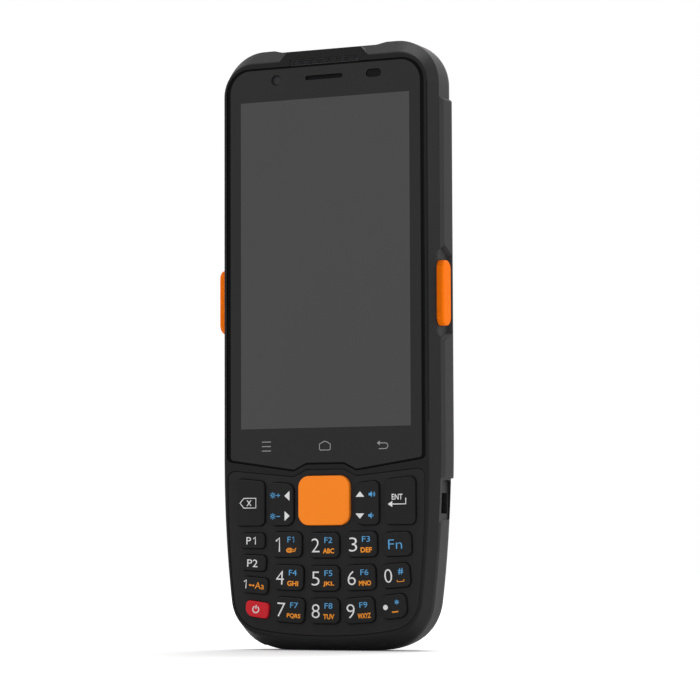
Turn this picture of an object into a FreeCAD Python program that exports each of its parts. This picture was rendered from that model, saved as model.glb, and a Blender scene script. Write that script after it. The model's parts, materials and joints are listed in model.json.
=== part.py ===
import FreeCAD, Part
import math
import os

# A portable barcode data terminal, standing upright on its bottom end.
# X runs across the front from left to right, Z runs up from the bottom end, and Y runs into the device.
# Every depth below is measured from the front face of the rim into the device, in millimetres.

# Body
BODY_HALF_W = 31.7
BODY_TOP_Z = 162.0
BODY_T = 15.0
BODY_CORNER_R = 12.0
BODY_TAPER_Z = 56.0
BODY_LOW_FLAT = 12.06
BODY_LOW_TURN = 25.0
BODY_LOW_CORNER = (13.5, 83.0)
BACK_EDGE_R = 4.5
SEAM_T = 4.2
WALL = 2.0
TOP_WALL = 3.4
SHELL_GAP = 0.05

# Rim of the front housing, where its face turns into the bevel
RIM_IN_SIDE = 1.8
RIM_IN_TOP = 3.8
RIM_IN_BOTTOM = 2.7
RIM_CORNER_R = 8.5
RIM_TAPER_Z = 50.0
RIM_LOW_FLAT = 1.65
RIM_LOW_TURN = 9.5
RIM_LOW_CORNER = (10.0, 83.4)
RIM_EDGE_R = 0.7

# Notched brow that holds the loudspeaker grille, and the lowered middle of the top end
BROW_HALF_TOP = 10.9
BROW_HALF_LOW = 13.4
BROW_DROP = 1.4
DIP_HALF_LOW = 14.0
DIP_HALF_TOP = 16.6
DIP_DEPTH = 0.7

# Touch glass
GLASS_IN_SIDE = 0.9
GLASS_T = 1.1
GLASS_SINK = 0.1
GLASS_BELOW_RIM_TOP = 1.6
GLASS_CORNER_R = 6.5
GLASS_FOOT_R = 1.5
NOTCH_R = 1.2
# Strips of the housing between the glass and the keypad plate, at the sides, the valleys and the notch
STRIP_SIDE = 2.5
STRIP_VALLEY = 1.55
STRIP_NOTCH = 1.5
GLASS_FIT = 0.15

# Display behind the glass
DISPLAY_IN_SIDE = 2.6
DISPLAY_IN_TOP = 7.55
DISPLAY_IN_FOOT = 4.55
DISPLAY_T = 1.9
DISPLAY_FIT = 0.2

# Earpiece slot, camera hole and light sensor hole in the glass
EAR_BELOW_GLASS_TOP = 3.4
EAR_W = 11.0
EAR_H = 1.2
CAMERA_X = -14.2
CAMERA_R = 1.45
SENSOR_X = 14.6
SENSOR_W = 4.4
SENSOR_H = 2.2
LENS_FIT = 0.08
CAMERA_BODY_W = 5.2
CAMERA_BODY_T = 3.0
SENSOR_BODY_W = 6.4
SENSOR_BODY_H = 4.4
SENSOR_BODY_T = 1.8

# Keypad plate
PLATE_IN_GLASS = 0.2
PLATE_T = 1.2
PLATE_SINK = 0.1
PLATE_LOW_Z = 3.9
PLATE_LOW_FLAT = 0.7
PLATE_LOW_TURN = 9.5
PLATE_LOW_CORNER = (8.9, 83.4)
PLATE_CORNER_R = 2.0
PLATE_VALLEY_DROP = 1.95
PLATE_NOTCH_DROP = 0.1
PLATE_FIT = 0.12
PLATE_LEDGE = 0.8
DECK_T = 1.1

# Keys: the place, size and lean of each, seen from the front
KEY_PROUD = 0.7
SCAN_KEY_PROUD = 1.0
KEY_TRAVEL = 0.4
KEY_FIT = 0.18
KEY_R = 1.5
KEY_EDGE_R = 0.35
KEY_FLANGE = 0.55
KEY_FLANGE_T = 0.5
KEY_UNDER_PLATE = 0.12
STEM_R = 1.4
STEM_OVER_DOME = 0.1
STEM_PAST_MAT = 0.35
SCAN_KEY_R = 3.0
SCAN_KEY_H = 13.1
SCAN_BELOW_NOTCH = 1.7
UPPER_KEYS_BELOW_EDGE = 1.95
END_KEY_IN_SIDE = 2.5
END_KEY_W = 8.7
END_KEY_GAP = 1.7
ROCKER_W = 6.9
ROCKER_INNER_R = 2.2
ROCKER_TILT = 2.0
ROCKER_SLACK = 0.2
ROCKER_GAP = 1.55
ROCKER_STEM = 3.0
VALLEY_OUT_OF_SCAN = 1.75
NOTCH_IN_SCAN = 1.95
NUMBER_W = 8.7
NUMBER_H = 6.7
NUMBER_ARCH = 0.02
# Number rows from the bottom up: the gap below a row, its column gap and its lean
FIRST_ROW_GAP = 3.2
ROW_GAPS = (1.9, 2.05)
COLUMN_GAPS = (1.5, 1.8, 2.25)
ROW_LEANS = (4.0, 2.2, 0.5)
UPPER_ROW_GAP = 1.95
# Side keys: row or step, gap from the numbers, gap from the plate's side, height and lean
RIGHT_KEYS = (("key_dot", 0, 1.25, 2.0, 5.15, 6.2, 6.5), ("key_0", 1, 0.7, 1.9, 4.15, 6.3, 5.0),
              ("key_fn", 2, 0.2, 1.8, 3.7, 6.3, 2.0))
LEFT_KEYS = (("key_power", 0.35, 1.9, 5.45, 4.2, -8.0), ("key_mode", 6.75, 1.8, 4.6, 4.3, -5.5),
             ("key_p2", 12.75, 1.95, 4.25, 4.2, -3.0), ("key_p1", 18.65, 2.25, 3.95, 4.1, -1.0))
SIDE_KEY_R = 1.1
CUT_CORNER_R = 2.4

# Keypad mat, board and domes
MAT_T = 0.6
MAT_IN = 0.3
MAT_RIM_W = 1.0
STEM_FIT = 0.3
BOARD_T = 0.8
DOME_R = 2.1
DOME_H = 0.3

# Loudspeaker grille, loudspeaker and earpiece
GRILLE_W = 20.0
GRILLE_H = 1.4
GRILLE_T = 0.5
GRILLE_SINK = 0.3
GRILLE_HOLE_R = 0.18
GRILLE_PITCH = 0.78
GRILLE_ROWS = 2
SPEAKER_W = 22.0
SPEAKER_H = 7.4
SPEAKER_T = 1.9
EARPIECE_W = 12.0
EARPIECE_H = 4.6
EARPIECE_T = 1.6
MESH_T = 0.3

# Middle frame and main board
FRAME_T = 0.7
FRAME_SIDE_ROOM = 2.1
FRAME_ABOVE_PLATE = 1.8
FRAME_BELOW_TOP = 17.0
FRAME_R = 3.0
MAIN_BOARD_T = 0.8
MAIN_BOARD_IN_FRAME = 2.0
CAN_T = 0.9
# Shield cans: across, height above the board's lower edge, width and height
CANS = ((-12.0, 25.2, 16.0, 22.0), (9.0, 29.2, 20.0, 18.0), (-10.0, 53.2, 20.0, 20.0),
        (12.0, 55.2, 14.0, 22.0))
ANTENNA_W = 36.0
ANTENNA_H = 4.8
ANTENNA_T = 2.6

# Battery, its bay and cover
BAY_FLOOR_ROOM = 0.85
BAY_FLOOR_THICK = 0.8
BATTERY_IN_COVER_SIDE = 1.9
BATTERY_IN_COVER_END = 2.8
BATTERY_R = 1.5
BATTERY_FIT = 0.4
BAY_WALL = 1.2
COVER_T = 1.4
COVER_IN_SIDE = 5.2
COVER_ABOVE_STRIP = 6.3
COVER_BELOW_TOP = 32.8
COVER_R = 4.0
COVER_FIT = 0.15
COVER_OFF = 25.0
LATCH_W = 15.0
LATCH_H = 6.0
LATCH_TRAVEL = 2.5
LATCH_TONGUE = 1.5
LATCH_TONGUE_W = 7.0
LATCH_FIT = 0.15

# Scan window and scan engine
WINDOW_W = 25.0
WINDOW_OVER_ENGINE = 0.6
WINDOW_T = 1.1
WINDOW_LIP = 1.2
WINDOW_SINK = 0.15
ENGINE_W = 22.0
ENGINE_FRONT_ROOM = 0.2
ENGINE_BACK_ROOM = 0.8
ENGINE_H = 11.0

# Rear camera and flash
REAR_CAMERA_IN_SIDE = 12.7
REAR_CAMERA_BELOW_TOP = 15.0
REAR_CAMERA_R = 4.4
REAR_CAMERA_BODY_T = 4.2
REAR_LENS_T = 1.0
FLASH_BELOW_CAMERA = 9.4
FLASH_R = 2.2

# Side scan triggers
TRIGGER_Z = 94.1
TRIGGER_BEHIND_SEAM = 1.8
TRIGGER_L = 17.3
TRIGGER_W = 5.4
TRIGGER_PROUD = 1.4
TRIGGER_TRAVEL = 0.6
TRIGGER_FIT = 0.2
TRIGGER_FLANGE = 0.7
TRIGGER_FLANGE_T = 0.8
TRIGGER_EDGE_R = 0.6
SCOOP_DEPTH = 0.5
SCOOP_HALF_L = 12.2
SCOOP_SHOULDER = 9.9
SCOOP_HALF_W = 4.3
SWITCH_W = 3.2
SWITCH_L = 5.0

# Side grips, over the middle of both sides
GRIP_PROUD = 0.7
GRIP_ABOVE_HOLLOW = 0.5
GRIP_BELOW_TOP = 15.7
GRIP_RAMP = 1.6
GRIP_FROM_BACK = 2.6

# Band that stiffens the lower edge of the rear housing
BAND_PROUD = 0.35
BAND_BELOW_HOLLOW = 0.8
BAND_LOW_Z = 1.2
BAND_BACK_T = 7.0

# Wrist strap slots through the side and out of the back
SLOT_LOW_Z = 36.0
SLOT_H = 5.4
SLOT_D = 4.4
SLOT_DEEP = 7.3
SLOT_BACK_W = 4.5
SLOT_WALL = 1.0
SLOT_BOARD_ROOM = 0.3
HOLLOW_DEPTH = 0.6
HOLLOW_BELOW_SLOT = 1.6
HOLLOW_ABOVE_SLOT = 3.4

# Charging socket and its hinged rubber cover, in the bottom end
SOCKET_W = 8.9
SOCKET_D = 3.2
SOCKET_H = 7.3
SOCKET_MID_T = 7.3
SOCKET_WALL = 0.3
SOCKET_LOW_Z = 1.7
MOUTH_FIT = 0.25
FLAP_W = 14.0
FLAP_D = 4.8
FLAP_T = 1.0
FLAP_FIT = 0.2
FLAP_RAISE = 0.15
PLUG_W = 7.8
PLUG_D = 2.0
PLUG_H = 1.1

# Screws that join the housings
SCREW_R = 1.0
SCREW_HEAD_R = 1.8
SCREW_HEAD_T = 1.2
SCREW_SINK = 0.9
SCREW_FIT = 0.06
SCREW_IN_SIDE = 6.4
SCREW_BELOW_TOP = 10.8
SCREW_ABOVE_STRIP = 1.1
SCREW_LOW_X = 15.0
SCREW_LOW_Z = 6.2
BOSS_R = 2.1
BOSS_PAST_SEAM = 2.0
BOSS_TOP_JOIN = 0.5
HEX_KEY_R = 0.75
HEX_KEY_DEEP = 0.7

# Smaller pieces inside
MOTOR_R = 4.0
MOTOR_T = 2.7
MOTOR_X = 6.0
MOTOR_Z = 24.0
BOARD_POSTS = ((9.0, 30.0), (19.0, 30.0), (19.0, 15.0))
BOARD_POST_R = 1.5
FRAME_POST_R = 1.2
FRAME_POST_FROM_END = 7.0
FRAME_POST_ABOVE = 20.2
CHARGE_BOARD_W = 22.0
CHARGE_BOARD_H = 13.6
CHARGE_BOARD_T = 0.8
CHARGE_POST_X = 8.0
CHARGE_POST_UP = 10.0
TRAY_ABOVE_BAY = 0.8
TRAY_W = 24.0
TRAY_H = 16.0
TRAY_T = 1.4
CONTACT_W = 1.2
CONTACT_PITCH = 2.6
CONTACT_COUNT = 4
SEAL_W = 0.5
SEAL_T = 0.5
SEAT = 0.05

FRONT_Y = -(BODY_T - SCAN_KEY_PROUD) / 2
RIM_HALF_W = BODY_HALF_W - RIM_IN_SIDE
RIM_TOP_Z = BODY_TOP_Z - RIM_IN_TOP
INNER_HALF_W = BODY_HALF_W - WALL
BACK_WALL_T = BODY_T - WALL
DIP_Z = BODY_TOP_Z - DIP_DEPTH
CAVITY_TOP_Z = BODY_TOP_Z - TOP_WALL

# Across the keypad, from its sides to its middle
GLASS_HALF_W = RIM_HALF_W - GLASS_IN_SIDE
PLATE_HALF_W = GLASS_HALF_W - PLATE_IN_GLASS
END_KEY_INNER_X = PLATE_HALF_W - END_KEY_IN_SIDE - END_KEY_W
ROCKER_INNER_X = END_KEY_INNER_X - END_KEY_GAP - ROCKER_W
SCAN_KEY_HALF_W = ROCKER_INNER_X - ROCKER_GAP
VALLEY_HALF = SCAN_KEY_HALF_W + VALLEY_OUT_OF_SCAN
NOTCH_HALF = SCAN_KEY_HALF_W - NOTCH_IN_SCAN

# Up the keypad, from its lower edge to the glass
ROWS_Z = [PLATE_LOW_Z + FIRST_ROW_GAP + NUMBER_H / 2]
for gap in ROW_GAPS:
    ROWS_Z.append(ROWS_Z[-1] + NUMBER_H + gap)
UPPER_KEYS_LOW_Z = ROWS_Z[-1] + NUMBER_H / 2 + UPPER_ROW_GAP
PLATE_NOTCH_Z = UPPER_KEYS_LOW_Z + SCAN_KEY_H + SCAN_BELOW_NOTCH
PLATE_TOP_Z = PLATE_NOTCH_Z + PLATE_NOTCH_DROP
PLATE_VALLEY_Z = PLATE_TOP_Z - PLATE_VALLEY_DROP
GLASS_FOOT_Z = PLATE_TOP_Z + STRIP_SIDE
GLASS_VALLEY_Z = PLATE_VALLEY_Z + STRIP_VALLEY
GLASS_NOTCH_Z = PLATE_NOTCH_Z + STRIP_NOTCH

# The glass and what lies behind it
GLASS_TOP_Z = RIM_TOP_Z - GLASS_BELOW_RIM_TOP
GLASS_BACK_T = GLASS_SINK + GLASS_T
EAR_Z = GLASS_TOP_Z - EAR_BELOW_GLASS_TOP
GRILLE_Z = GLASS_TOP_Z + GLASS_FIT + 0.1 + GRILLE_H / 2
LEDGE_T = max(GLASS_BACK_T, PLATE_SINK + PLATE_T)
DECK_BACK_T = LEDGE_T + DECK_T
DISPLAY_HALF_W = GLASS_HALF_W - DISPLAY_IN_SIDE
DISPLAY_LOW_Z = GLASS_FOOT_Z + DISPLAY_IN_FOOT
DISPLAY_TOP_Z = GLASS_TOP_Z - DISPLAY_IN_TOP
DISPLAY_FRONT_T = GLASS_BACK_T + SEAT
DISPLAY_BACK_T = DISPLAY_FRONT_T + DISPLAY_T
EARPIECE_BACK_T = DECK_BACK_T + SEAT + EARPIECE_T
SPEAKER_FRONT_T = EARPIECE_BACK_T + SEAT
SPEAKER_BACK_T = SPEAKER_FRONT_T + SPEAKER_T

# Layers under the keys
MAT_FRONT_T = DECK_BACK_T + SEAT
STEM_END_T = MAT_FRONT_T + MAT_T + STEM_PAST_MAT
BOARD_FRONT_T = STEM_END_T + KEY_TRAVEL + STEM_OVER_DOME + DOME_H
BOARD_BACK_T = BOARD_FRONT_T + BOARD_T
SLOT_FRONT_T = BOARD_BACK_T + SLOT_BOARD_ROOM + SLOT_WALL
SLOT_IN_X = BODY_HALF_W - SLOT_DEEP
HOLLOW_LOW_Z = SLOT_LOW_Z - HOLLOW_BELOW_SLOT
HOLLOW_TOP_Z = SLOT_LOW_Z + SLOT_H + HOLLOW_ABOVE_SLOT
BAND_TOP_Z = HOLLOW_LOW_Z - BAND_BELOW_HOLLOW
GRIP_LOW_Z = HOLLOW_TOP_Z + GRIP_ABOVE_HOLLOW
GRIP_TOP_Z = BODY_TOP_Z - GRIP_BELOW_TOP
GRIP_BACK_T = BODY_T - GRIP_FROM_BACK

# Layers under the display
FRAME_FRONT_T = DISPLAY_BACK_T + SEAT
FRAME_BACK_T = FRAME_FRONT_T + FRAME_T
FRAME_HALF_W = INNER_HALF_W - FRAME_SIDE_ROOM
FRAME_LOW_Z = PLATE_TOP_Z + FRAME_ABOVE_PLATE
FRAME_TOP_Z = BODY_TOP_Z - FRAME_BELOW_TOP
MAIN_BOARD_FRONT_T = FRAME_BACK_T + SEAT
MAIN_BOARD_BACK_T = MAIN_BOARD_FRONT_T + MAIN_BOARD_T
MAIN_BOARD_HALF_W = FRAME_HALF_W - MAIN_BOARD_IN_FRAME
MAIN_BOARD_LOW_Z = FRAME_LOW_Z + ANTENNA_H + 0.2
BAY_FLOOR_T = MAIN_BOARD_BACK_T + TRAY_T + BAY_FLOOR_ROOM
COVER_FRONT_T = BODY_T - COVER_T
COVER_HALF_W = BODY_HALF_W - COVER_IN_SIDE
COVER_LOW_Z = GLASS_FOOT_Z + COVER_ABOVE_STRIP
COVER_TOP_Z = BODY_TOP_Z - COVER_BELOW_TOP
BATTERY_HALF_W = COVER_HALF_W - BATTERY_IN_COVER_SIDE
BATTERY_LOW_Z = COVER_LOW_Z + BATTERY_IN_COVER_END
BATTERY_TOP_Z = COVER_TOP_Z - BATTERY_IN_COVER_END
TRIGGER_T = SEAM_T + TRIGGER_BEHIND_SEAM

# The back and the upper end
SCREW_X = BODY_HALF_W - SCREW_IN_SIDE
SCREW_SPOTS = ((SCREW_X, BODY_TOP_Z - SCREW_BELOW_TOP), (SCREW_X, GLASS_FOOT_Z + SCREW_ABOVE_STRIP),
               (SCREW_LOW_X, SCREW_LOW_Z))
BOSS_JOIN_T = SEAM_T + BOSS_PAST_SEAM
REAR_CAMERA_X = BODY_HALF_W - REAR_CAMERA_IN_SIDE
REAR_CAMERA_Z = BODY_TOP_Z - REAR_CAMERA_BELOW_TOP
FLASH_Z = REAR_CAMERA_Z - FLASH_BELOW_CAMERA
ENGINE_FRONT_T = SPEAKER_BACK_T + ENGINE_FRONT_ROOM
ENGINE_BACK_T = BACK_WALL_T - ENGINE_BACK_ROOM
ENGINE_D = ENGINE_BACK_T - ENGINE_FRONT_T
WINDOW_D = ENGINE_D + WINDOW_OVER_ENGINE
WINDOW_MID_T = (ENGINE_FRONT_T + ENGINE_BACK_T) / 2


def point(x, t, z):
    """A point from its place across, its depth behind the rim's face, and its height."""
    return FreeCAD.Vector(x, FRONT_Y + t, z)


def side_path(half_w, low_z, flat, turn, low_corner, taper_z):
    """The right half of a device outline, from the bottom's middle up to where the side turns upright.
    After the flat, three arcs that meet smoothly turn it by the turn, round the corner and up the side."""
    r2, a2 = low_corner
    a1, a2 = math.radians(turn), math.radians(a2)
    k = (1 - math.sin(a2)) / math.cos(a2)
    spare = half_w - flat - k * (taper_z - low_z - r2 * (math.cos(a1) - math.cos(a2)))
    r1 = (spare - r2 * (math.sin(a2) - math.sin(a1))) / (math.sin(a1) - k * (1 - math.cos(a1)))
    z1 = low_z + r1 * (1 - math.cos(a1))
    z2 = z1 + r2 * (math.cos(a1) - math.cos(a2))
    r3 = (taper_z - z2) / math.cos(a2)
    x2 = half_w - r3 * (1 - math.sin(a2))
    x1 = x2 - r2 * (math.sin(a2) - math.sin(a1))
    x0 = x1 - r1 * math.sin(a1)
    centres = ((x0, low_z + r1), (x1 - r2 * math.sin(a1), z1 + r2 * math.cos(a1)),
               (half_w - r3, taper_z))
    path = [((0, low_z), (x0, low_z))]
    for (cx, cz), r, start, end in zip(centres, (r1, r2, r3), (0, a1, a2), (a1, a2, math.pi / 2)):
        path.append(tuple((cx + r * math.sin(a), cz - r * math.cos(a))
                          for a in (start, (start + end) / 2, end)))
    return path


def rounded(points):
    """A path through points given as (x, z, radius), with each inner corner rounded by its radius."""
    path = []
    here = points[0][:2]
    for (ax, az, *_), (px, pz, r), (bx, bz, *_) in zip(points, points[1:], points[2:]):
        u = ((ax - px) / math.hypot(ax - px, az - pz), (az - pz) / math.hypot(ax - px, az - pz))
        v = ((bx - px) / math.hypot(bx - px, bz - pz), (bz - pz) / math.hypot(bx - px, bz - pz))
        half = math.acos(max(-1.0, min(1.0, u[0] * v[0] + u[1] * v[1]))) / 2
        reach = r / math.tan(half)
        bis = math.hypot(u[0] + v[0], u[1] + v[1])
        w = ((u[0] + v[0]) / bis, (u[1] + v[1]) / bis)
        out = r / math.sin(half) - r
        first = (px + u[0] * reach, pz + u[1] * reach)
        last = (px + v[0] * reach, pz + v[1] * reach)
        path.append((here, first))
        path.append((first, (px + w[0] * out, pz + w[1] * out), last))
        here = last
    path.append((here, points[-1][:2]))
    return path


def loop(corners):
    """A closed path round a polygon whose corners are (x, z, radius)."""
    first, last = corners[0], corners[-1]
    middle = ((first[0] + last[0]) / 2, (first[1] + last[1]) / 2, 0)
    return rounded([middle, *corners, middle])


def both_sides(half):
    """A closed path from its right half, mirrored about the middle."""
    return half + [tuple((-x, z) for x, z in reversed(piece)) for piece in reversed(half)]


def device_path(half_w, low_z, flat, turn, low_corner, taper_z, top_z, corner_r, inset=0.0):
    """A closed device outline, moved inwards by the inset."""
    r2, a2 = low_corner
    half = side_path(half_w - inset, low_z + inset, flat, turn, (r2 - inset, a2), taper_z)
    half += rounded([(half_w - inset, taper_z), (half_w - inset, top_z - inset, corner_r - inset),
                     (0, top_z - inset)])
    return both_sides(half)


def body_path(inset=0.0, top_inset=None):
    """The outline of the body behind the seam, moved inwards by the inset."""
    extra = 0.0 if top_inset is None else top_inset - inset
    return device_path(BODY_HALF_W, 0.0, BODY_LOW_FLAT, BODY_LOW_TURN, BODY_LOW_CORNER, BODY_TAPER_Z,
                       BODY_TOP_Z - extra, BODY_CORNER_R, inset)


def rim_path():
    """The outline of the rim's front face."""
    return device_path(RIM_HALF_W, RIM_IN_BOTTOM, RIM_LOW_FLAT, RIM_LOW_TURN, RIM_LOW_CORNER,
                       RIM_TAPER_Z, RIM_TOP_Z, RIM_CORNER_R)


def glass_path(grow=0.0):
    """The outline of the touch glass, with its notch over the scan key."""
    half = [(0, GLASS_NOTCH_Z - grow, 0), (NOTCH_HALF, GLASS_NOTCH_Z - grow, NOTCH_R + grow),
            (VALLEY_HALF, GLASS_VALLEY_Z - grow, NOTCH_R),
            (GLASS_HALF_W + grow, GLASS_FOOT_Z - grow, GLASS_FOOT_R + grow),
            (GLASS_HALF_W + grow, GLASS_TOP_Z + grow, GLASS_CORNER_R + grow), (0, GLASS_TOP_Z + grow, 0)]
    return both_sides(rounded(half))


def plate_path(inset=0.0):
    """The outline of the keypad plate, whose top edge follows the glass."""
    taper_z = PLATE_TOP_Z - PLATE_CORNER_R - 2.5
    r2, a2 = PLATE_LOW_CORNER
    half = side_path(PLATE_HALF_W - inset, PLATE_LOW_Z + inset, PLATE_LOW_FLAT, PLATE_LOW_TURN,
                     (r2 - inset, a2), taper_z)
    half += rounded([(PLATE_HALF_W - inset, taper_z),
                     (PLATE_HALF_W - inset, PLATE_TOP_Z - inset, PLATE_CORNER_R - min(inset, 1.0)),
                     (VALLEY_HALF, PLATE_VALLEY_Z - inset, NOTCH_R),
                     (NOTCH_HALF, PLATE_NOTCH_Z - inset, NOTCH_R), (0, PLATE_NOTCH_Z - inset)])
    return both_sides(half)


def wire(path, t):
    """The path as a wire, at one depth."""
    edges = []
    for piece in path:
        spots = [point(x, t, z) for x, z in piece]
        edges.append(Part.LineSegment(*spots).toShape() if len(spots) == 2 else Part.Arc(*spots).toShape())
    return Part.Wire(edges)


def slab(path, t0, t1):
    """A solid with the path as its outline, from one depth to another."""
    return Part.Face(wire(path, t0)).extrude(FreeCAD.Vector(0, t1 - t0, 0))


def block(x0, x1, t0, t1, z0, z1):
    """A box between two places across, two depths and two heights."""
    return Part.makeBox(x1 - x0, t1 - t0, z1 - z0, point(x0, t0, z0))


def peg(x, z, r, t0, t1):
    """A cylinder that points into the device."""
    return Part.makeCylinder(r, t1 - t0, point(x, t0, z), FreeCAD.Vector(0, 1, 0))


def box_path(x, z, w, h, r, lean=0.0, radii=None):
    """A closed rectangle with rounded corners, turned by its lean. Corners run from low right round to low left."""
    a = math.radians(lean)
    radii = radii or (r, r, r, r)
    corners = []
    for sx, sz, corner_r in zip((1, 1, -1, -1), (-1, 1, 1, -1), radii):
        dx, dz = sx * w / 2, sz * h / 2
        corners.append((x + dx * math.cos(a) - dz * math.sin(a), z + dx * math.sin(a) + dz * math.cos(a),
                        corner_r))
    return loop(corners)


def grow_corners(corners, by):
    """The corners of a polygon, listed anticlockwise, with each side moved outwards and each radius grown."""
    lines = []
    for (ax, az, _), (bx, bz, _) in zip(corners, corners[1:] + corners[:1]):
        length = math.hypot(bx - ax, bz - az)
        nx, nz = (bz - az) / length, -(bx - ax) / length
        lines.append((nx, nz, nx * ax + nz * az + by))
    grown = []
    for (n1, m1, d1), (n2, m2, d2), (_, _, r) in zip(lines[-1:] + lines[:-1], lines, corners):
        det = n1 * m2 - n2 * m1
        grown.append(((d1 * m2 - d2 * m1) / det, (n1 * d2 - n2 * d1) / det, r + by))
    return grown


def edges_at(shape, t, tol=0.01):
    """The edges of a shape that lie wholly at one depth."""
    y = FRONT_Y + t
    return [e for e in shape.Edges if abs(e.BoundBox.YMin - y) < tol and abs(e.BoundBox.YMax - y) < tol]


def fused(shapes):
    """One solid from several that meet."""
    whole = shapes[0].multiFuse(shapes[1:]) if len(shapes) > 1 else shapes[0]
    return whole.removeSplitter()


def carve(shape, tools):
    """A shape with every solid of the tools cut away."""
    return shape.cut([solid for tool in tools for solid in tool.Solids])


def plate_edge_z(x):
    """Height of the keypad plate's top edge at a place across, outside its valley."""
    share = (abs(x) - VALLEY_HALF) / (PLATE_HALF_W - VALLEY_HALF)
    return PLATE_VALLEY_Z + share * (PLATE_TOP_Z - PLATE_VALLEY_Z)


def upper_key(inner_x, w, inner_r, side):
    """Corners of a tall key beside the scan key, under the plate's sloping edge; side is 1 right, -1 left."""
    outer_x = inner_x + w
    low = UPPER_KEYS_LOW_Z
    top_in = plate_edge_z(inner_x) - UPPER_KEYS_BELOW_EDGE
    top_out = plate_edge_z(outer_x) - UPPER_KEYS_BELOW_EDGE
    right = [(outer_x, low, KEY_R), (outer_x, top_out, KEY_R), (inner_x, top_in, inner_r),
             (inner_x, low, inner_r)]
    if side > 0:
        return right
    return [(-x, z, r) for x, z, r in (right[3], right[2], right[1], right[0])]


def small_key(x, z, w, h, lean, radii):
    """Corners of one leaning rectangular key, anticlockwise from low right."""
    a = math.radians(lean)
    corners = []
    for sx, sz, r in zip((1, 1, -1, -1), (-1, 1, 1, -1), radii):
        dx, dz = sx * w / 2, sz * h / 2
        corners.append((x + dx * math.cos(a) - dz * math.sin(a),
                        z + dx * math.sin(a) + dz * math.cos(a), r))
    return corners


def key_table():
    """Every key as name to its corners, how far it stands proud and where its stems are."""
    keys = {}
    scan_z = UPPER_KEYS_LOW_Z + SCAN_KEY_H / 2
    keys["key_scan"] = (small_key(0, scan_z, 2 * SCAN_KEY_HALF_W, SCAN_KEY_H, 0, (SCAN_KEY_R,) * 4),
                        SCAN_KEY_PROUD, [(0, scan_z)])
    upper_z = UPPER_KEYS_LOW_Z + SCAN_KEY_H / 2
    for name, side in (("key_delete", -1), ("key_enter", 1)):
        corners = upper_key(END_KEY_INNER_X, END_KEY_W, KEY_R, side)
        keys[name] = (corners, KEY_PROUD, [(side * (END_KEY_INNER_X + END_KEY_W / 2), upper_z)])
    for name, side in (("rocker_left", -1), ("rocker_right", 1)):
        corners = upper_key(ROCKER_INNER_X, ROCKER_W, ROCKER_INNER_R, side)
        x = side * (ROCKER_INNER_X + ROCKER_W / 2)
        keys[name] = (corners, KEY_PROUD, [(x, rocker_z() - ROCKER_STEM), (x, rocker_z() + ROCKER_STEM)])
    for row, (z, gap, lean) in enumerate(zip(ROWS_Z, COLUMN_GAPS, ROW_LEANS)):
        for column in (-1, 0, 1):
            place = (column * (NUMBER_W + gap), z + abs(column) * (NUMBER_W + gap) * NUMBER_ARCH)
            corners = small_key(*place, NUMBER_W, NUMBER_H, column * lean, (KEY_R,) * 4)
            keys["key_%d" % ((2 - row) * 3 + column + 2)] = (corners, KEY_PROUD, [place])
    for name, row, up, gap, in_side, h, lean in RIGHT_KEYS:
        inner, outer = numbers_edge(row) + gap, PLATE_HALF_W - in_side
        x, z = (inner + outer) / 2, ROWS_Z[row] + up
        radii = (CUT_CORNER_R if name == "key_dot" else KEY_R, KEY_R, KEY_R, KEY_R)
        keys[name] = (small_key(x, z, outer - inner, h, lean, radii), KEY_PROUD, [(x, z)])
    for step, (name, up, gap, in_side, h, lean) in enumerate(LEFT_KEYS):
        inner, outer = numbers_edge(min(step, 2)) + gap, PLATE_HALF_W - in_side
        x, z = -(inner + outer) / 2, ROWS_Z[0] + up
        low_left = CUT_CORNER_R if name == "key_power" else SIDE_KEY_R
        keys[name] = (small_key(x, z, outer - inner, h, lean, (SIDE_KEY_R, SIDE_KEY_R, SIDE_KEY_R, low_left)),
                      KEY_PROUD, [(x, z)])
    return keys


def numbers_edge(row):
    """Place across of the outer edge of the number keys in a row, counted from the lowest."""
    return 1.5 * NUMBER_W + COLUMN_GAPS[row]


def rocker_z():
    """Height of the axis that both rocker keys tilt about."""
    top = plate_edge_z(ROCKER_INNER_X + ROCKER_W / 2) - UPPER_KEYS_BELOW_EDGE
    return (UPPER_KEYS_LOW_Z + top) / 2


def key(corners, proud, stems, slack=0.0):
    """A key cap with its retaining flange under the plate and its stems down to the domes."""
    flange_t = LEDGE_T + KEY_UNDER_PLATE + slack
    cap = slab(loop(corners), -proud, flange_t + KEY_FLANGE_T / 2)
    cap = cap.makeFillet(KEY_EDGE_R, edges_at(cap, -proud))
    flange = slab(loop(grow_corners(corners, KEY_FLANGE)), flange_t, flange_t + KEY_FLANGE_T)
    pegs = [peg(x, z, STEM_R, flange_t + KEY_FLANGE_T / 2, STEM_END_T) for x, z in stems]
    return fused([cap, flange, *pegs])


def keypad_plate(keys):
    """The plate round the keys, with a hole for each."""
    plate = slab(plate_path(), PLATE_SINK, PLATE_SINK + PLATE_T)
    plate = plate.makeFillet(PLATE_FIT, edges_at(plate, PLATE_SINK))
    holes = [slab(loop(grow_corners(corners, KEY_FIT)), -1, LEDGE_T + 1) for corners, _, _ in keys.values()]
    return carve(plate, holes)


def screw_places():
    """Every screw as (x, z), on both sides."""
    return [(side * x, z) for x, z in SCREW_SPOTS for side in (-1, 1)]


def boss_clearance(t0, t1, fit=0.3):
    """Room for the screw bosses, to cut from a board or mat."""
    return Part.makeCompound([peg(x, z, BOSS_R + fit, t0, t1) for x, z in screw_places()])


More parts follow.
